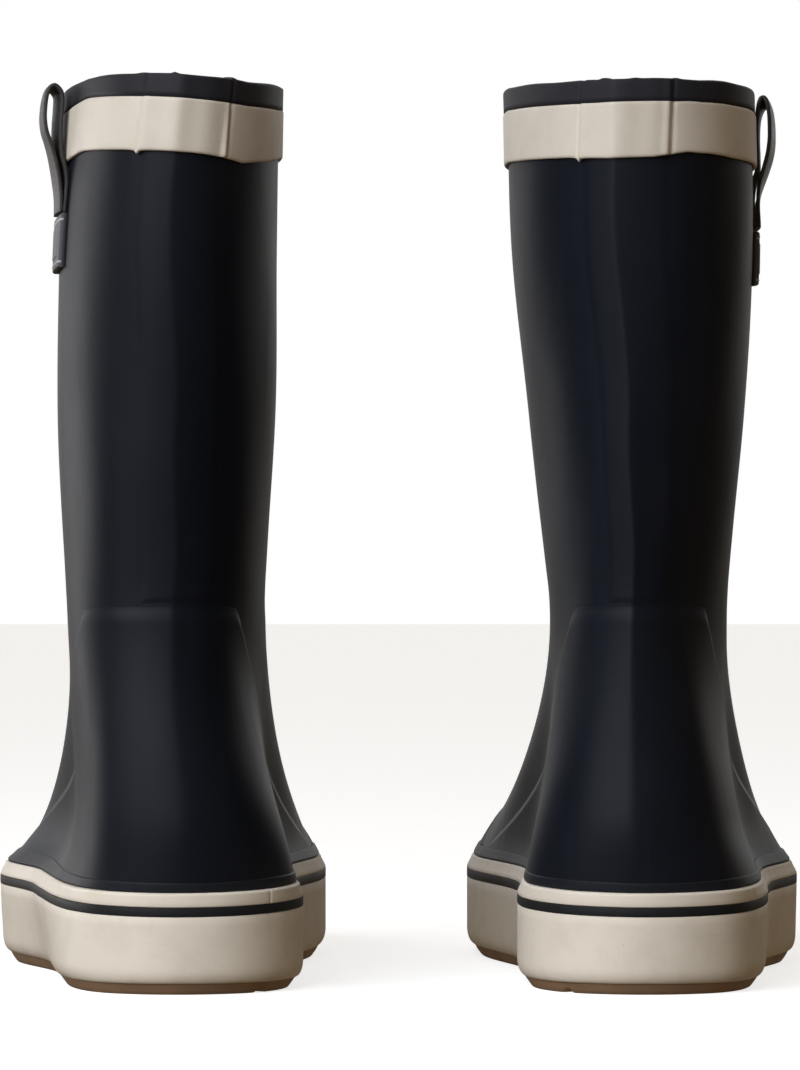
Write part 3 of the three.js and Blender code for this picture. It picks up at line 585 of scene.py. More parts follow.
def make_toe_guard(boot):
    """Tallest at the tip and low at both ends, as one less the square of the share."""
    angle = side_columns(-GUARD_FRONT, GUARD_FRONT, 1.5, 90)
    low = boot.trim_low(angle)
    high = low + 1 + GUARD_RISE * (1 - (np.degrees(angle) / GUARD_FRONT) ** 2)
    make_patch(boot, "toe_guard", angle, low, high, 0.9, 2.6, 24)


def make_back_stay(boot):
    """A thin strip that follows the heel line up under the band."""
    angle = side_columns(180 - boot.stay[1], 180 + boot.stay[0], 1.0, 40)
    top_turn = math.radians(boot.heel_line[-1][1])
    high = boot.rim(angle - top_turn) - BINDING_HEIGHT - 1.0
    low = np.full(angle.shape, COUNTER_TOP + 0.6)
    make_patch(boot, "back_stay", angle, low, high, 0.3, 3.5, 70, round_low=True, line=boot.heel_line)


for boot in BOOTS:
    make_counter(boot)
    make_toe_guard(boot)
    make_back_stay(boot)

# %% [markdown]
# ## Band and binding at the top
#
# The cream band is a strip of rubber rolled on over the strip below it, so the edges of that strip
# print through as upright creases. The dark binding folds over the raw rim. Both are rings: a
# rounded section carried round the boot, lifted where something lies beneath.

# %% Band and binding
def stay_edges(boot):
    """Degrees round from the toe of the two edges of the back strip at the rim."""
    line = boot.heel_line[-1][1]
    return [180 - line - boot.stay[1], 180 - line + boot.stay[0]]


def from_stay(boot, angle):
    """Degrees from the middle of the back strip at the rim, + towards the outer side."""
    return (heel_side(angle) - boot.heel_line[-1][1] + 180) % 360 - 180


def over_stay(boot, angle, z_share):
    """How far the band is lifted: a low step over the back strip, soft ripples across it, and at
    each edge a fold: sharp on one side of each boot, deepening from its top to its foot."""
    side = from_stay(boot, angle)
    inner, outer = side + boot.stay[0], side - boot.stay[1]
    step = 0.5 * smooth((1.5 + np.minimum(inner, -outer)) / 3.0)
    ripple = 0.22 * np.sin(side * 0.42 + boot.phase * 3) * bump(side, 0, 22)
    pinch = -0.9 * bump(inner, -0.9, 1.1) + 0.9 * bump(inner, 1.3, 1.5) * (1.15 - z_share)
    soft = -0.25 * bump(outer, 0.8, 2.2) + 0.25 * bump(outer, -2.0, 2.5)
    if boot.name == "right":
        pinch = -0.75 * bump(inner, -0.2, 0.8) + 0.35 * bump(inner, 1.6, 1.6)
        soft = -0.75 * bump(outer, 0.8, 1.3) + 0.5 * bump(outer, -1.4, 1.8)
    return step + ripple + pinch + soft


def band_edge(boot, angle):
    """Small tabs at the band's lower edge where it was pinched over the strip."""
    side = from_stay(boot, angle)
    tab = side - (boot.stay[1] if boot.name == "left" else -boot.stay[0])
    return -1.0 * bump(tab, 0, 1.1) - 0.35 * bump(tab, 0, 4.0)


FINE_SPREAD = tuple(np.linspace(-6, 6, 25))
BAND_THICK = 1.6
# tabs on the binding's crest: degrees from the strip's middle, width in degrees, height
CREST_TABS = {"left": ((4, 1.3, 0.55), (-26, 1.6, 0.5), (20, 3.0, 0.3)),
              "right": ((-5, 1.5, 0.6), (-15, 1.2, -0.5), (8, 2.0, 0.3), (27, 2.0, 0.3))}


def make_band(boot):
    angle = columns_with(260, stay_edges(boot), FINE_SPREAD)
    high = boot.rim(angle) - BINDING_HEIGHT + along_heel(boot.band_high, angle)
    low = high - BAND_HEIGHT + band_edge(boot, angle) + along_heel(boot.band_low, angle)
    share_z = rounded_section(0, 1, 0, 1, 0.06, arc=5, sides=(1, 10))[:, 1]
    depth = rounded_section(0, 1, 0, 1, 0.45, arc=5, sides=(1, 10))[:, 0]
    lift = over_stay(boot, angle[:, None], share_z[None, :])
    offset = depth[None, :] * BAND_THICK + lift * (depth > 0.5)[None, :]
    z = low[:, None] + (high - low)[:, None] * share_z[None, :]
    rise = 2 + (z - ANKLE) / (HEIGHT - ANKLE)
    finish_piece(boot, "top_band", boot.skin(angle[:, None], rise, offset))


def make_binding(boot):
    """A channel: up the outside, over the rim in a half round and down the inside. Small tabs
    stand on its crest where the tape was lapped and pinched."""
    angle = columns_with(260, stay_edges(boot), FINE_SPREAD)
    outer, inner, thick = 1.35, -4.7, 1.1
    side = from_stay(boot, angle)
    wave = sum(height * bump(side, where, width) for where, width, height in CREST_TABS[boot.name])
    wave = wave + 0.12 * np.sin(11 * angle + 2 * boot.phase)
    middle, reach = (outer + inner) / 2, (outer - inner) / 2
    down = np.linspace(1, 0, 5)
    over = np.radians(np.linspace(0, 180, 15))[1:-1]
    squash = np.sign(np.cos(over)) * np.abs(np.cos(over)) ** 0.5
    offsets = [outer + 0 * down, middle + reach * squash, inner + 0 * down, inner + thick + 0 * down,
               outer - thick - 0.2 + 0 * down]
    face, under = (-BINDING_HEIGHT * down - top * (1 - down) for top in (1.2, 2.2))
    drops = [face, -1.2 + 1.2 * np.sin(over) ** 0.7, face[::-1], under, under[::-1]]
    offset, drop = np.concatenate(offsets)[None, :], np.concatenate(drops)[None, :]
    share_z = 1 + drop / BINDING_HEIGHT
    offset = offset + 0.7 * over_stay(boot, angle[:, None], 1.0) * (offset > 0)
    low_follow = along_heel(boot.band_high, angle)[:, None] * (drop < -5)
    z = boot.rim(angle)[:, None] + wave[:, None] * smooth(share_z * 1.6) + drop + low_follow
    rise = 2 + (z - ANKLE) / (HEIGHT - ANKLE)
    finish_piece(boot, "rim_binding", boot.skin(angle[:, None], rise, offset))


for boot in BOOTS:
    make_band(boot)
    make_binding(boot)

# %% [markdown]
# ## Sidewall, pinstripe and bumper strip
#
# The foxing is a thick tape wrapped round the sole, flat outside with a rounded lower edge, and a
# dark line is let into it. Each is a ring whose section is given in plan offset and height.

# %% Sole rings
JOINT = {"left": 180 + 24, "right": 180 - 33}  # degrees round to the sidewall's joint
LAP = {"left": 180 - 12, "right": 180 + 17}  # and to where the bumper strip laps over its own end
CROWN, GROOVE = 1.1, 0.8  # radius of the sidewall's top edge, depth of the stripe's groove
SHOULDER = 1.7  # how far that edge leans in, away from the heel
HEM, HEM_HEIGHT = 2.4, 5.5  # the sidewall's lower edge turns in by this much over this height


def ring_points(boot, angle, profile):
    """Carries (offset, height) pairs, each a number or an array per angle, round the wall's plan."""
    spread = lambda values: np.stack([np.broadcast_to(v, angle.shape) for v in values], 1)
    offset, z = map(spread, zip(*profile))
    plan = boot.outline(np.broadcast_to(angle[:, None], offset.shape), offset, z)
    return np.concatenate([plan, z[..., None]], -1)


def hand_laid(boot, angle):
    """Unevenness of hand-laid tape in plan, a fifth of a millimetre."""
    p = boot.phase
    return 0.12 * np.sin(7 * angle + p) + 0.08 * np.sin(13 * angle + 2 * p) + 0.05 * np.sin(23 * angle + p)


def make_sidewall(boot):
    angle = columns_with(320, [JOINT[boot.name]])
    top = boot.sidewall_top(angle)
    face = WALL_OUT + hand_laid(boot, angle)
    seam = 0.35 * bump(np.degrees(angle), JOINT[boot.name], 0.35)
    stripe_top, stripe_low = top - STRIPE_DROP, top - STRIPE_DROP - STRIPE_HEIGHT
    profile = [(0.15, SIDEWALL_LOW + 0.3), (0.15, top - 0.3), (0.6, top)]
    crown = np.radians(np.linspace(90, 0, 6))
    lean = SHOULDER * smooth(((1 + np.cos(angle)) / 2 - 0.03) / 0.2)
    profile += [(face - seam - lean - CROWN * (1 - np.cos(t)), top - CROWN * (1 - np.sin(t))) for t in crown]
    profile += [(face - seam - 0.35 * lean, top - 3.2), (face - seam, stripe_top + 0.35)]
    profile += [(face - 0.12, stripe_top + 0.1), (face - GROOVE, stripe_top + 0.05)]
    profile += [(face - GROOVE, stripe_low - 0.05), (face - 0.12, stripe_low - 0.1)]
    from_z, to_z = stripe_low - 0.35, SIDEWALL_LOW + 4
    profile += [(face, from_z + (to_z - from_z) * s) for s in np.linspace(0, 1, 7)[:-1]]
    toe_lift = 0.6 * smooth((1 + np.cos(angle)) / 2)
    foot = SIDEWALL_LOW - 0.3 + toe_lift
    corner = np.radians(np.linspace(0, 80, 9))
    profile += [(face - HEM * (1 - np.cos(t)), foot + HEM_HEIGHT * (1 - np.sin(t))) for t in corner]
    finish_piece(boot, "sidewall", ring_points(boot, angle, profile))


def make_pinstripe(boot):
    angle = columns_with(320)
    face = WALL_OUT + hand_laid(boot, angle)
    high = boot.sidewall_top(angle) - STRIPE_DROP
    section = rounded_section(-0.75, 0.04, -STRIPE_HEIGHT, 0, 0.12, arc=3, sides=(1, 2))
    finish_piece(boot, "pinstripe", ring_points(boot, angle, [(face + u, high + v) for u, v in section]))


def make_bumper(boot):
    """A strip on the skin whose section is a rounded rectangle, standing on the sidewall."""
    mark = LAP[boot.name]
    angle = columns_with(320, [mark])
    lap = 0.35 * smooth((np.degrees(angle) - mark) / 0.5) * smooth((mark + 8 - np.degrees(angle)) / 6)
    low = boot.sidewall_top(angle) - 0.05
    section = rounded_section(-0.1, 1.35, 0, BUMPER_HEIGHT, 0.55, arc=5, sides=(2, 3))
    wave = 0.12 * np.sin(9 * angle + boot.phase)
    z = low[:, None] + section[None, :, 1] + wave[:, None] * (section[:, 1] > 1)
    offset = section[None, :, 0] + (lap + 0.5 * hand_laid(boot, angle))[:, None] * (section[:, 0] > 0.6)
    rise = boot.rise_at(angle[:, None] + 0 * z, z)
    finish_piece(boot, "bumper_strip", boot.skin(angle[:, None], rise, offset))


for boot in BOOTS:
    make_sidewall(boot)
    make_pinstripe(boot)
    make_bumper(boot)

# %% [markdown]
# ## Outsole and footbed
#
# The gum outsole is a plate with a raised rim and rows of wavy bars; the thin gaps between bars
# are the cuts that squeeze water out on a wet deck. Bars, rim and plate are separate closed
# shapes in one mesh. The footbed is a soft sheet that turns up a little at its edges.

# %% Outsole and footbed
def plate_points(boot, columns, rows, offset, low, high):
    """A plate of the foot's plan as a closed ring of points per rung: the rung goes from the inner
    to the outer edge below, and back above. Heights are functions of (share across, y)."""
    turn = np.linspace(0, np.pi, columns)
    outer, inner = boot.outline(turn, offset, 8.0), boot.outline(-turn, offset, 8.0)
    share = np.linspace(0, 1, rows)
    across = inner[:, None] + (outer - inner)[:, None] * share[None, :, None]
    side = 2 * share[None, :] - 1 + 0 * across[..., 0]
    below = np.concatenate([across, low(side, across[..., 1])[..., None]], -1)
    above = np.concatenate([across, high(side, across[..., 1])[..., None]], -1)
    return np.concatenate([below, above[:, ::-1]], 1)


def make_footbed(boot):
    base = lambda side, y: seat(y) + FOOTBED_LOW + 0 * side
    top = lambda side, y: seat(y) + FOOTBED_LOW + FOOTBED_THICK + 1.6 * np.abs(side) ** 6
    points = plate_points(boot, 90, 40, -4.2 - 0.1 * boot.tuck, base, top)
    finish_piece(boot, "footbed", points, body="footbed", close_u=False, welded=True)


TREAD_DEPTH = 1.6
BAR_PITCH, BAR_GAP = 6.5, 1.1
FIRST_BAR, LAST_BAR = 14.5, LENGTH - 14
BARE_WAIST = (78, 122)  # no bars between these


def ring_quads(nu, nv, capped):
    """Quad indices of a (columns, rows) grid closed along its rows. A capped one ends in strips of
    quads between facing rows, any other closes along its columns too."""
    i, j = np.meshgrid(np.arange(nu - 1 if capped else nu), np.arange(nv), indexing="ij")
    i, j = i.ravel(), j.ravel()
    this, after = i * nv, (i + 1) % nu * nv
    quads = np.stack([this + j, after + j, after + (j + 1) % nv, this + (j + 1) % nv], 1)
    if not capped:
        return quads
    k = np.arange(nv // 2 - 1)
    cap = np.stack([k, k + 1, nv - 2 - k, nv - 1 - k], 1)
    return np.concatenate([quads, cap, cap[:, ::-1] + (nu - 1) * nv])


def tread_bar(boot, y0):
    """One wavy bar across the sole at y0: its middle line swings as a sine of x."""
    turn = np.arccos(np.clip((y0 - LENGTH / 2) / (LENGTH / 2 - WALL_OUT), -1, 1))
    reach = boot.outline(np.array([turn, -turn]), -10.5, 0.0)[:, 0]
    x = np.linspace(reach[1], reach[0], 56)
    middle = y0 + 1.5 * np.sin(x * 2 * np.pi / 11.0)
    half = (BAR_PITCH - BAR_GAP) / 2
    right_side = [(half - 0.25, 0), (half, 0.25), (half, TREAD_DEPTH + 0.1)]
    section = np.array([(-y, z) for y, z in right_side[::-1]] + right_side)
    y = middle[:, None] + section[None, :, 0]
    return np.stack([x[:, None] + 0 * y, y, section[None, :, 1] + 0 * y], -1)


NOTCH = {"left": 28.3, "right": 27.9}  # a cut in the heel's rim, this far to the inner side


def make_outsole(boot):
    """Rim, plate and bars, each a closed shape of its own. The rim slopes in from under the
    sidewall to the ground."""
    angle = columns_with(300, [180 + 38], spread=(-2.5, -1.8, -1.2, -0.6, 0, 0.6, 1.2, 1.8, 2.5))
    cut = bump(boot.outline(angle)[:, 0], -NOTCH[boot.name], 0.9) * (np.cos(angle) < -0.5)
    foot = TREAD_DEPTH * 0.8 * cut
    top = OUTSOLE_THICK + 0.5 * smooth((1 + np.cos(angle)) / 2) - 0.15
    ring = [(-9.0, TREAD_DEPTH + 0.1), (-9.0, 0.25), (-8.75, foot), (-1.5, foot), (-1.2, 0.3 + foot),
            (-0.1, 1.8), (0.9, top - 0.5), (1.1, top), (-3.0, top), (-9.0, top)]
    parts = [(ring_points(boot, angle, ring), False)]
    under, over = (lambda side, y: TREAD_DEPTH + 0 * y), (lambda side, y: OUTSOLE_THICK - 0.3 + 0 * y)
    parts.append((plate_points(boot, 60, 24, -8.9, under, over), True))
    for y0 in np.arange(FIRST_BAR, LAST_BAR, BAR_PITCH):
        if not BARE_WAIST[0] < y0 < BARE_WAIST[1]:
            parts.append((tread_bar(boot, y0), True))
    points, quads, start = [], [], 0
    for part, capped in parts:
        placed = boot.place(part).reshape(-1, 3)
        own = ring_quads(*part.shape[:2], capped)
        points.append(placed)
        quads.append(start + (own[:, ::-1] if volume_of(placed, own) < 0 else own))
        start += len(placed)
    mesh = bpy.data.meshes.new(f"{boot.name}_outsole_fine")
    mesh.from_pydata(np.concatenate(points).tolist(), [], np.concatenate(quads).tolist())
    add_piece(boot, "outsole", weld(mesh))
    print("bars under it:", len(parts) - 2)


for boot in BOOTS:
    make_outsole(boot)
    make_footbed(boot)

# %% [markdown]
# ## Pull loop and its patch
#
# The loop is a strap folded double. Its two leaves lie together above the patch, step out over the
# band and part into an eye at the top. It is one rounded section carried along a curve, in a plane
# that stands square to the side of the leg. The patch is moulded with two thin raised lines.

# %% Loop and patch
LOOP_WIDTH, LOOP_THICK = 18.0, 1.35
PATCH_WIDTH, PATCH_HEIGHT, PATCH_THICK = 20.0, 18.9, 2.4
PATCH_LINE = 1.9  # each raised line, from the patch's end
LOOP_REST = 1.7  # the strap's root above the patch
# the strap's middle line: distance off the leg and height above its rest, inner leaf to outer leaf
LOOP_LINES = {
    "left": [(0.55, -1.1), (0.6, 5), (0.9, 11), (1.9, 15.5), (3.2, 19), (4.1, 25), (4.4, 31), (4.4, 36.5),
             (4.7, 40.3), (5.7, 41.9), (7.1, 42.8), (8.6, 41.8), (9.3, 39.2), (9.6, 36), (9.5, 31.5),
             (8.7, 27.5), (7.3, 24), (5.8, 20), (4.4, 15.5), (3.3, 11), (2.2, 5), (1.75, -1.1)],
    "right": [(0.8, -0.9), (0.8, 5), (1.4, 11), (2.2, 15.5), (3.5, 19), (3.9, 25), (4.0, 31), (4.4, 36.5),
              (5.2, 41.0), (6.4, 43.8), (7.8, 44.2), (8.8, 42.6), (9.3, 38.5), (9.3, 34), (9.0, 29.5),
              (8.1, 25), (6.6, 20.5), (4.7, 15.5), (3.4, 11), (2.5, 5), (2.2, -0.9)],
}
LOOP_LEAN = {"left": 0.08, "right": -0.06}  # how the outer leaf is twisted, across its width
LOOP_FACE = {"left": 3.0, "right": 8.5}  # degrees the strap faces back between its ends


def loop_frame(boot):
    """Where the strap swings, and its directions: out from the leg, up it, and across the strap."""
    middle, z = math.radians(boot.loop_angle), HEIGHT - boot.patch_drop + LOOP_REST
    at = lambda angle, height: boot.form(np.array(angle), 2 + (np.array(height) - ANKLE) / (HEIGHT - ANKLE))
    foot = at(middle, z)
    up = at(middle, z + 38.0) - foot
    up /= np.linalg.norm(up)
    forward = at(middle - 0.05, z) - at(middle + 0.05, z)
    out = np.cross(forward, up)
    out /= np.linalg.norm(out)
    return foot, out, up, np.cross(out, up)


def make_loop(boot):
    """Rounded section along the line. At each place the section stands square to the line, and
    the strap bows a little across its width to follow the leg. Its ends lie along the patch."""
    foot, out, up, across = loop_frame(boot)
    line = np.array(LOOP_LINES[boot.name])
    knot = running(line)
    run = np.linspace(0, knot[-1], 150)
    path = np.stack([through(knot, line[:, 0], run), through(knot, line[:, 1], run)], -1)
    along = np.gradient(path, axis=0)
    along /= np.linalg.norm(along, axis=1, keepdims=True)
    normal = np.stack([-along[:, 1], along[:, 0]], -1)
    half_w, half_t = LOOP_WIDTH / 2, LOOP_THICK / 2
    section = rounded_section(-half_t, half_t, -half_w, half_w, 0.55, arc=4, sides=(1, 12))
    w, t = section[None, :, 1], section[None, :, 0]
    share = (run / run[-1])[:, None]
    twist = LOOP_LEAN[boot.name] * smooth((share - 0.42) / 0.12) * smooth((0.95 - share) / 0.3)
    face = math.tan(math.radians(LOOP_FACE[boot.name])) * smooth(share / 0.2) * smooth((1 - share) / 0.2)
    bow = 0.4 * (w / half_w) ** 2
    d = path[:, :1] + normal[:, :1] * t - bow + (twist - face) * w
    ends = 1 - smooth(share / 0.08) * smooth((1 - share) / 0.08)
    slope = 0.09 * bump(share, 0.5, 0.16) + 0.8 * ends * math.tan(math.radians(boot.patch_tilt))
    h = path[:, 1:] + normal[:, 1:] * t + slope * w
    swell = 1 + 0.02 * np.sin(run / 9.0)[:, None]
    points = foot + d[..., None] * out + h[..., None] * up + (w * swell)[..., None] * across
    nu, nv = points.shape[:2]
    caps = [range(nv), range((nu - 1) * nv, nu * nv)]
    finish_piece(boot, "pull_loop", points, body="loop", close_u=False, caps=caps)


def make_loop_patch(boot):
    """A sheet bent to the leg with rounded edges. Two thin lines and a plain block between them
    stand up from it."""
    middle, z0 = math.radians(boot.loop_angle), HEIGHT - boot.patch_drop
    near = boot.form(np.array([middle + 0.05, middle - 0.05]), 2 + (z0 - ANKLE) / (HEIGHT - ANKLE))
    per_radian = np.linalg.norm(near[0] - near[1]) * 10
    u = edged(PATCH_WIDTH, 0.8, 30) - PATCH_WIDTH / 2
    v = edged(PATCH_HEIGHT, 0.8, 60)
    across, up = u[:, None], v[None, :]
    z = z0 - PATCH_HEIGHT + up + across * math.tan(math.radians(boot.patch_tilt))
    angle = middle + across / per_radian + 0 * up
    from_side, from_end = PATCH_WIDTH / 2 - np.abs(across), np.minimum(up, PATCH_HEIGHT - up)
    edge = np.minimum(from_side, from_end)
    lines = 0.28 * bump(from_end, PATCH_LINE, 0.28) * smooth((from_side - 1.2) / 0.5)
    block = 0.3 * smooth((5.6 - np.abs(up - PATCH_HEIGHT / 2)) / 0.4) * smooth((from_side - 2.6) / 0.4)
    offset = PATCH_THICK * (0.55 + 0.45 * quarter(edge / 0.8)) + lines + block
    rise = 2 + (z - ANKLE) / (HEIGHT - ANKLE)
    outer, inner = boot.skin(angle, rise, offset), boot.skin(angle, rise, 0.0 * offset)
    points = np.concatenate([outer, inner[:, ::-1]], 1)
    nu, nv = points.shape[:2]
    caps = [[base + i for i in (k, k + 1, nv - 2 - k, nv - 1 - k)]
            for base in (0, (nu - 1) * nv) for k in range(nv // 2 - 1)]
    finish_piece(boot, "loop_patch", points, close_u=False, caps=caps)


for boot in BOOTS:
    make_loop(boot)
    make_loop_patch(boot)

# %% [markdown]
# ## Writing shaders as formulas
#
# Finishes are procedural: they are computed from each piece's own coordinates, with no pictures.
# A small class wraps a number inside a material, so that a formula such as `1 - mask * 0.3` adds
# the maths nodes it needs.

# %% Shader maths
class Num:
    """A number in a material. Arithmetic on it adds Math nodes."""

    def __init__(self, finish, socket):
        self.finish, self.socket = finish, socket

    def __add__(self, other):
        return self.finish.math("ADD", self, other)

    def __sub__(self, other):
        return self.finish.math("SUBTRACT", self, other)

    def __rsub__(self, other):
        return self.finish.math("SUBTRACT", other, self)

    def __mul__(self, other):
        return self.finish.math("MULTIPLY", self, other)

    def __truediv__(self, other):
        return self.finish.math("DIVIDE", self, other)

    def __rtruediv__(self, other):
        return self.finish.math("DIVIDE", other, self)

    __radd__, __rmul__ = __add__, __mul__


class Finish:
    """A material: a Principled shader, its constants, and the nodes that vary it."""

    def __init__(self, name, **constants):
        self.material = bpy.data.materials.new(name)
        self.material.use_nodes = True
        self.tree = self.material.node_tree
        self.shader = self.tree.nodes["Principled BSDF"]
        for socket, value in constants.items():
            self.shader.inputs[socket.replace("_", " ")].default_value = value
        self.place = self.node("ShaderNodeTexCoord").outputs["Object"]
        self.x, self.y, self.z = self.split(self.place)

    def node(self, kind, settings=None, sockets=None):
        """Any node: its settings first, then its sockets, linked or given a value."""
        node = self.tree.nodes.new(kind)
        for key, value in (settings or {}).items():
            setattr(node, key, value)
        for key, value in (sockets or {}).items():
            self.put(node.inputs[key], value)
        return node

    def put(self, socket, value):
        """Links a number or socket, or sets a plain value."""
        if isinstance(value, Num):
            value = value.socket
        if isinstance(value, bpy.types.NodeSocket):
            self.tree.links.new(value, socket)
        else:
            socket.default_value = value

    def math(self, operation, *values):
        node = self.node("ShaderNodeMath", {"operation": operation}, dict(enumerate(values)))
        return Num(self, node.outputs[0])

    def split(self, vector):
        node = self.node("ShaderNodeSeparateXYZ", None, {0: vector})
        return [Num(self, out) for out in node.outputs]

    def uv(self):
        """The piece's own lengths, in metres."""
        return self.node("ShaderNodeUVMap", {"uv_map": "UVMap"}).outputs["UV"]

    def stretched(self, factors, vector=None):
        """Coordinates multiplied per axis."""
        sockets = {0: vector or self.place, 1: factors}
        return self.node("ShaderNodeVectorMath", {"operation": "MULTIPLY"}, sockets).outputs[0]

    def noise(self, scale, detail=3.0, rough=0.55, vector=None):
        """Cloudy noise, 0 to 1, whose features are about 1 over scale metres."""
        sockets = {"Vector": vector or self.place, "Scale": scale, "Detail": detail, "Roughness": rough}
        return Num(self, self.node("ShaderNodeTexNoise", None, sockets).outputs["Fac"])

    def cells(self, scale, vector=None):
        """Distance to the nearest of scattered points, in cells."""
        sockets = {"Vector": vector or self.place, "Scale": scale}
        return Num(self, self.node("ShaderNodeTexVoronoi", None, sockets).outputs["Distance"])

    def ramp(self, value, low, high):
        """0 below low, 1 above high, smooth between; also runs down if low is above high."""
        flip = low > high
        sockets = {"Value": value, "From Min": min(low, high), "From Max": max(low, high),
                   "To Min": 1.0 if flip else 0.0, "To Max": 0.0 if flip else 1.0}
        node = self.node("ShaderNodeMapRange", {"interpolation_type": "SMOOTHSTEP"}, sockets)
        return Num(self, node.outputs["Result"])

    def mix(self, share, first, second):
        """Colour between two colours by a share."""
        first, second = ((*c, 1.0) if isinstance(c, tuple) and len(c) == 3 else c for c in (first, second))
        node = self.node("ShaderNodeMix", {"data_type": "RGBA"}, {0: share, 6: first, 7: second})
        return node.outputs[2]

    def color(self, value):
        self.put(self.shader.inputs["Base Color"], value)

    def rough(self, value):
        self.put(self.shader.inputs["Roughness"], value)

    def bumps(self, *layers):
        """Bump nodes in a chain, each (height, distance in metres, strength)."""
        normal = None
        for height, distance, strength in layers:
            sockets = {"Height": height, "Distance": distance, "Strength": strength}
            node = self.node("ShaderNodeBump", None, sockets)
            if normal is not None:
                self.put(node.inputs["Normal"], normal)
            normal = node.outputs["Normal"]
        self.put(self.shader.inputs["Normal"], normal)


# %% [markdown]
# ## Rubber
#
# The navy skin is cured rubber with a satin face. Close to, it has a fine orange-peel grain, some matter
# patches where a cloth or hand has rubbed it, a little pale bloom, and faint upright streaks of gloss. We mix
# a faint bloom colour by cloudy noise, more of it towards the ground, vary the roughness with the same masks,
# and use two scales of bump. The gloss streaks are also mixed lighter into the colour: a painted reflection.

# %% Navy rubber
def navy_rubber(name, base, bloom_and_sheen_colour, rough):
    f = Finish(name, Specular_IOR_Level=0.14, Sheen_Weight=0.03, Sheen_Roughness=0.3)
    cloudy = f.noise(22.0, 4.0, 0.6)
    gloss_streak = f.ramp(f.noise(1.0, 4.0, 0.6, f.stretched((160.0, 160.0, 14.0))), 0.5, 0.78)
    rubbed = f.ramp(f.noise(9.0, 3.0, 0.6), 0.46, 0.66)
    low = f.ramp(f.z, 0.16, 0.03)
    # painted reflection: the gloss streaks are mixed lighter into the colour, beside the real pale bloom
    bloom_and_sheen = f.ramp(cloudy, 0.35, 0.75) * 0.008 + gloss_streak * 0.008 + low * cloudy * 0.014
    f.color(f.mix(bloom_and_sheen, base, bloom_and_sheen_colour))
    f.rough(rough + (cloudy - 0.5) * 0.08 + rubbed * 0.04 + gloss_streak * 0.05)
    f.bumps((f.noise(60.0, 2.0), 0.0006, 0.12), (f.noise(1100.0, 2.0, 0.6), 0.00012, 0.25))
    return f.material


NAVY = navy_rubber("navy_rubber", (0.0043, 0.0061, 0.0112), (0.17, 0.165, 0.17), 0.5)
# painted light: the bumper strip is the same navy rubber made lighter, standing in for the light its rounded
# face catches
BUMPER_NAVY_PAINTED_LIGHT = navy_rubber("bumper_rubber", (0.0100, 0.0115, 0.0160), (0.16, 0.16, 0.17), 0.5)
# painted sheen: the binding is the navy rubber made lighter and greyer, standing in for the bluish-grey sheen
# along the rim
BINDING_NAVY_PAINTED_SHEEN = navy_rubber("binding_rubber", (0.021, 0.021, 0.026), (0.18, 0.17, 0.17), 0.55)
STRIPE = navy_rubber("stripe_rubber", (0.014, 0.0145, 0.0155), (0.13, 0.12, 0.10), 0.55)

# %% [markdown]
# Cream rubber shows its age first: it yellows unevenly and has small dark specks and scuffs that run along
# the tape. The sidewall also carries painted shade, darker towards the ground, and its cream is painted
# brighter than the band's to stand in for light bounced up from the floor.

# %% Cream rubber
def cream_rubber(name, base, dirt_and_shade_colour, shade_near_ground):
    f = Finish(name, Specular_IOR_Level=0.4)
    mottle = f.noise(70.0, 5.0, 0.62)
    broad = f.noise(14.0, 3.0, 0.5)
    specks = f.ramp(f.cells(420.0), 0.16, 0.05) * f.ramp(f.noise(60.0, 2.0), 0.52, 0.68)
    scuffs = f.ramp(f.noise(1.0, 4.0, 0.7, f.stretched((26.0, 26.0, 420.0))), 0.62, 0.8)
    dirt_and_ground_shade = f.ramp(mottle, 0.42, 0.75) * 0.12 + f.ramp(broad, 0.4, 0.7) * 0.08 + specks * 0.35 + scuffs * 0.12
    if shade_near_ground:
        # painted shade: the sidewall is mixed darker towards the ground
        dirt_and_ground_shade = dirt_and_ground_shade + f.ramp(f.z, 0.008, 0.003) * (0.08 + mottle * 0.2)
    f.color(f.mix(f.math("MINIMUM", dirt_and_ground_shade, 1.0), base, dirt_and_shade_colour))
    f.rough(0.52 + (mottle - 0.5) * 0.16 + scuffs * 0.1)
    f.bumps((f.noise(45.0, 2.0), 0.0008, 0.12), (f.noise(750.0, 3.0, 0.6), 0.00015, 0.25))
    return f.material


# painted light: the sidewall's cream is the band's rubber made brighter, standing in for light bounced up
# from the floor
SIDEWALL_CREAM_PAINTED_BOUNCE = cream_rubber("sidewall_rubber", (0.790, 0.715, 0.605), (0.30, 0.235, 0.165), True)
BAND = cream_rubber("band_rubber", (0.665, 0.600, 0.510), (0.33, 0.26, 0.185), False)

# %% [markdown]
# The outsole is natural gum: a translucent brown, darker where dirt sits in the tread. The strap and its
# patch are plain black rubber; the strap has two rows of fine stitches, and the patch's two raised lines are
# painted lighter as a painted highlight.

# %% Gum, strap and patch
def gum_rubber():
    f = Finish("gum_sole", Specular_IOR_Level=0.4)
    mottle = f.noise(60.0, 4.0, 0.6)
    trodden = f.ramp(f.z, 0.0016, 0.0003) * 0.35 + f.ramp(mottle, 0.4, 0.75) * 0.35
    f.color(f.mix(trodden, (0.330, 0.205, 0.120), (0.110, 0.075, 0.045)))
    f.rough(0.55 + (mottle - 0.5) * 0.2)
    f.bumps((f.noise(300.0, 3.0, 0.6), 0.0004, 0.3))
    return f.material


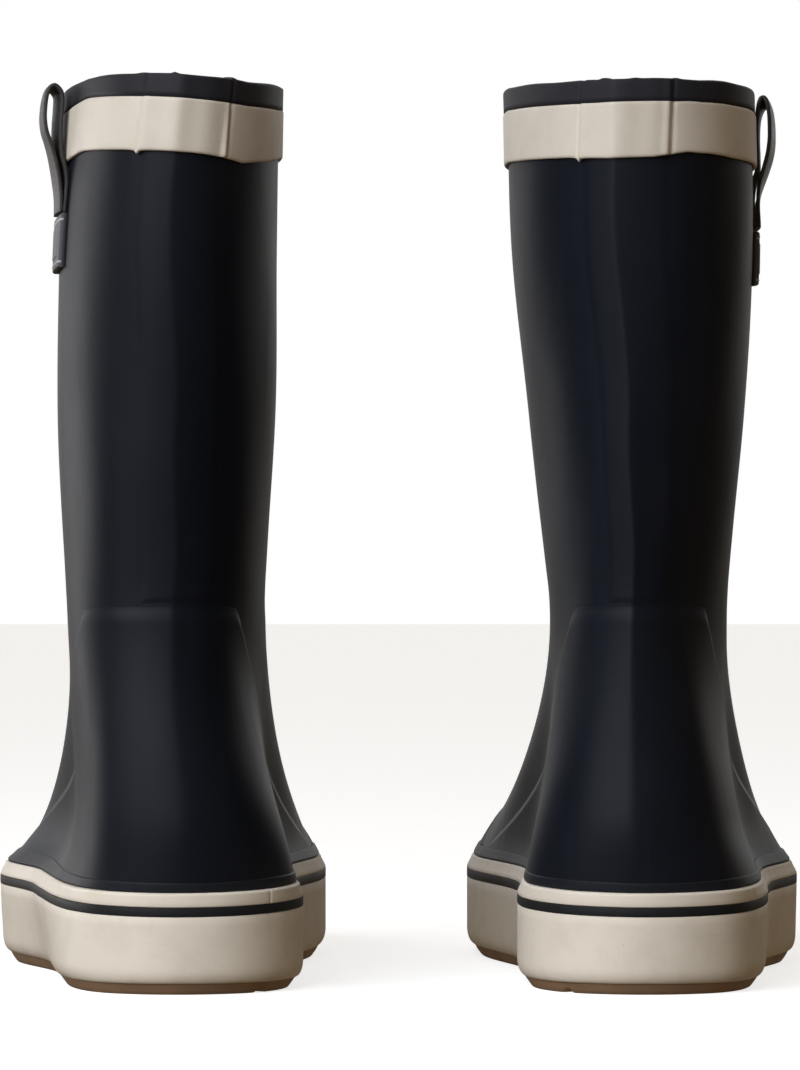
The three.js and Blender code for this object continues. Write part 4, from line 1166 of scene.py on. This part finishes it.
def strap_rubber():
    f = Finish("loop_strap", Specular_IOR_Level=0.2)
    cloudy = f.noise(90.0, 4.0, 0.6)
    u, v, _ = f.split(f.uv())
    across = f.math("ABSOLUTE", f.math("PINGPONG", v, 0.00955) - 0.00475)
    row = f.ramp(f.math("ABSOLUTE", across - 0.0026), 0.00045, 0.00025)
    stitch = row * f.ramp(f.math("ABSOLUTE", f.math("FRACT", u / 0.0026) - 0.5), 0.38, 0.3)
    f.color(f.mix(f.ramp(cloudy, 0.4, 0.8) * 0.08 + stitch * 0.12, (0.034, 0.031, 0.030), (0.22, 0.2, 0.18)))
    f.rough(0.44 + (cloudy - 0.5) * 0.2 + stitch * 0.15)
    f.bumps((f.noise(500.0, 3.0, 0.6), 0.0003, 0.25), (stitch, 0.0003, 0.6))
    return f.material


def patch_rubber():
    """Dark grey, with its two raised lines painted lighter: a painted highlight along them. The lines sit at
    fixed lengths up the patch, read from its own coordinates."""
    f = Finish("patch_rubber", Specular_IOR_Level=0.2)
    cloudy = f.noise(160.0, 4.0, 0.6)
    _, v, _ = f.split(f.uv())
    low, high = (f.ramp(f.math("ABSOLUTE", v - up), 0.00050, 0.00025) for up in (0.0027, 0.0177))
    face = f.mix(f.ramp(cloudy, 0.4, 0.75) * 0.25, (0.085, 0.086, 0.092), (0.17, 0.17, 0.175))
    # painted highlight: the two raised lines are mixed light grey
    f.color(f.mix(low + high, face, (0.42, 0.42, 0.43)))
    f.rough(0.5 + (cloudy - 0.5) * 0.2)
    f.bumps((f.noise(700.0, 3.0, 0.6), 0.0003, 0.3))
    return f.material


GUM, STRAP, PATCH_WITH_PAINTED_HIGHLIGHT = gum_rubber(), strap_rubber(), patch_rubber()

# %% [markdown]
# ## Inside the boot
#
# The sock lining is a fine weft knit: each stitch is a small V, and its columns run up the leg.
# The footbed has a coarser cloth face. Board, cork and sponge are never seen unless the boot is
# cut open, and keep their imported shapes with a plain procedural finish.

# %% Knit, cloth and hidden layers
def knit_lining():
    """Height of a V stitch: a wave down the column whose phase slides with the distance from the
    column's middle, times a hump across each leg of the V."""
    f = Finish("knit_lining", Specular_IOR_Level=0.2, Sheen_Weight=0.25, Sheen_Roughness=0.5)
    u, v, _ = f.split(f.uv())
    column = f.math("FRACT", u / 0.0016) - 0.5
    from_middle = f.math("ABSOLUTE", column)
    course = f.math("FRACT", v / 0.0013 - from_middle * 1.1) - 0.5
    leg = 1 - f.math("ABSOLUTE", from_middle - 0.25) * 4.0
    yarn = f.math("MAXIMUM", leg, 0.0) * (1 - f.math("ABSOLUTE", course) * 1.8)
    cloudy = f.noise(40.0, 4.0, 0.6)
    f.color(f.mix(yarn * 0.8, (0.035, 0.034, 0.036), f.mix(cloudy, (0.15, 0.148, 0.15), (0.21, 0.205, 0.2))))
    f.rough(0.9 - yarn * 0.05)
    f.bumps((yarn, 0.0004, 0.7), (f.noise(2500.0, 2.0), 0.0002, 0.3))
    return f.material


def footbed_cloth():
    f = Finish("footbed_foam", Specular_IOR_Level=0.2, Sheen_Weight=0.15)
    warp = f.math("SINE", f.x * (2 * math.pi / 0.0016)) * f.math("SINE", f.y * (2 * math.pi / 0.0016))
    flecks = f.ramp(f.noise(900.0, 3.0, 0.7), 0.52, 0.66)
    worn = f.ramp(f.noise(26.0, 3.0, 0.6), 0.42, 0.7)
    f.color(f.mix(flecks * 0.45 + worn * 0.15, (0.055, 0.057, 0.064), (0.26, 0.26, 0.265)))
    f.rough(0.88 + flecks * 0.06)
    f.bumps((warp, 0.00025, 0.5), (f.noise(1200.0, 3.0), 0.0003, 0.3))
    return f.material


def plain_layer(name, first, second, scale, rough, depth):
    f = Finish(name, Specular_IOR_Level=0.2)
    grain = f.noise(scale, 4.0, 0.65)
    crumbs = f.ramp(f.cells(scale * 1.6), 0.2, 0.6)
    f.color(f.mix(grain * 0.6 + crumbs * 0.4, first, second))
    f.rough(rough + (grain - 0.5) * 0.1)
    f.bumps((grain + crumbs * 0.5, depth, 0.5))
    return f.material


LINING, FOOTBED = knit_lining(), footbed_cloth()
BOARD = plain_layer("fibre_board", (0.30, 0.22, 0.14), (0.45, 0.36, 0.25), 500.0, 0.85, 0.0003)
CORK = plain_layer("cork_filler", (0.16, 0.09, 0.045), (0.36, 0.24, 0.14), 350.0, 0.9, 0.0008)
SPONGE = plain_layer("sponge_rubber", (0.05, 0.05, 0.052), (0.10, 0.10, 0.10), 700.0, 0.9, 0.0006)

# %% [markdown]
# Each fine piece takes its finish; the table also lists the material slot that it comes from. The three
# hidden layers of each boot stay as packed and only take a finish.

# %% Give every piece its finish
FINISHES = [
    (NAVY, "navy_rubber", ["upper", "heel_counter", "toe_guard", "back_stay"]),
    (LINING, "knit_lining", ["lining"]),
    (BAND, "band_rubber", ["top_band"]),
    (BINDING_NAVY_PAINTED_SHEEN, "binding_rubber", ["rim_binding"]),
    (SIDEWALL_CREAM_PAINTED_BOUNCE, "sidewall_rubber", ["sidewall"]),
    (STRIPE, "stripe_rubber", ["pinstripe"]),
    (BUMPER_NAVY_PAINTED_LIGHT, "bumper_rubber", ["bumper_strip"]),
    (GUM, "gum_sole", ["outsole"]),
    (FOOTBED, "footbed_foam", ["footbed"]),
    (STRAP, "loop_strap", ["pull_loop"]),
    (PATCH_WITH_PAINTED_HIGHLIGHT, "patch_rubber", ["loop_patch"]),
    (BOARD, "fibre_board", ["insole_board"]),
    (CORK, "cork_filler", ["bottom_filler"]),
    (SPONGE, "sponge_rubber", ["midsole"]),
]
FINISH_OF = {piece: (material, slot) for material, slot, pieces in FINISHES for piece in pieces}
HIDDEN = [(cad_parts[f"{boot.name}_{piece}"], piece)
          for boot in BOOTS for piece in ("insole_board", "bottom_filler", "midsole")]
for obj, piece in MADE + HIDDEN:
    material, slot = FINISH_OF[piece]
    obj.data.materials.clear()
    obj.data.materials.append(material)
print("pieces with a finish:", len(MADE) + len(HIDDEN))

# %% [markdown]
# ## Floor, light and camera
#
# The pair stands on a plain pale floor. One broad soft light comes from the left on the camera's
# side, so left flanks read light and right flanks fall off to near black. A small second light,
# low on the left and a little ahead of the boots, adds only a sheen along the left edges. A weak
# warm surround keeps the dark side readable. The camera is level, far back, with a long lens.

# %% Stage
def flat_finish(name, colour, glow):
    f = Finish(name, Roughness=0.9, Specular_IOR_Level=0.1)
    f.color((*colour, 1.0))
    f.shader.inputs["Emission Color"].default_value = (1, 1, 1, 1)
    f.shader.inputs["Emission Strength"].default_value = glow
    return f.material


def stage_sheet(name, corners, material, mirrored):
    """A flat sheet that adds no light: only the camera sees it, and reflections where asked."""
    mesh = bpy.data.meshes.new(name)
    mesh.from_pydata(corners, [], [[0, 1, 2, 3]])
    mesh.materials.append(material)
    obj = bpy.data.objects.new(name, mesh)
    bpy.context.collection.objects.link(obj)
    obj.visible_diffuse = obj.visible_shadow = False
    obj.visible_glossy = mirrored


ROOM = [(-9, -9, 0), (9, -9, 0), (9, 9, 0), (-9, 9, 0)]
WALL_HEIGHT = 12
stage_sheet("floor", ROOM, flat_finish("floor_paint", (0.6, 0.6, 0.6), 0.75), mirrored=False)
WALLS = [(3, 2), (2, 1), (1, 0), (0, 3)]  # corners of the floor under the back, right, front, left wall
for k, (first, second) in enumerate(WALLS):
    (x0, y0, _), (x1, y1, _) = ROOM[first], ROOM[second]
    wall = [(x0, y0, 0), (x1, y1, 0), (x1, y1, WALL_HEIGHT), (x0, y0, WALL_HEIGHT)]
    paint = flat_finish(f"backdrop_paint_{k}", (0, 0, 0), 1.0)
    stage_sheet(f"backdrop_{k}", wall, paint, mirrored=k == 0)

scene = bpy.context.scene
scene.view_settings.view_transform = "Standard"
scene.view_settings.look = "None"
world = bpy.data.worlds.new("surround")
scene.world = world
world.use_nodes = True
world.node_tree.nodes["Background"].inputs["Color"].default_value = (0.145, 0.108, 0.068, 1)
world.node_tree.nodes["Background"].inputs["Strength"].default_value = 1.0


def area_light(name, place, target, size, power, colour=(1, 1, 1)):
    """A rectangle of light at place, turned to face target."""
    light = bpy.data.lights.new(name, "AREA")
    light.shape = "RECTANGLE"
    light.size, light.size_y = size
    light.energy, light.color = power, colour
    obj = bpy.data.objects.new(name, light)
    obj.location = place
    obj.rotation_euler = (Vector(target) - Vector(place)).to_track_quat("-Z", "Y").to_euler()
    bpy.context.collection.objects.link(obj)
    return obj


area_light("key", (-1.33, -1.76, 1.32), (0, 0, 0.15), (2.6, 1.8), 77, (0.885, 0.93, 1.0))
edge_glow = area_light("edge_glow", (-0.88, 0.46, 0.2), (-0.1, -0.05, 0.15), (0.35, 0.5), 2.8)
edge_glow.visible_diffuse = False

camera = bpy.data.objects.new("camera", bpy.data.cameras.new("camera"))
camera.location = (0.000367, -2.3489, 0.1573)
camera.rotation_euler = (math.radians(90), 0, 0)
camera.data.lens, camera.data.sensor_width = 216.7, 36.0
camera.data.dof.use_dof = False
bpy.context.collection.objects.link(camera)
scene.camera = camera

# %% [markdown]
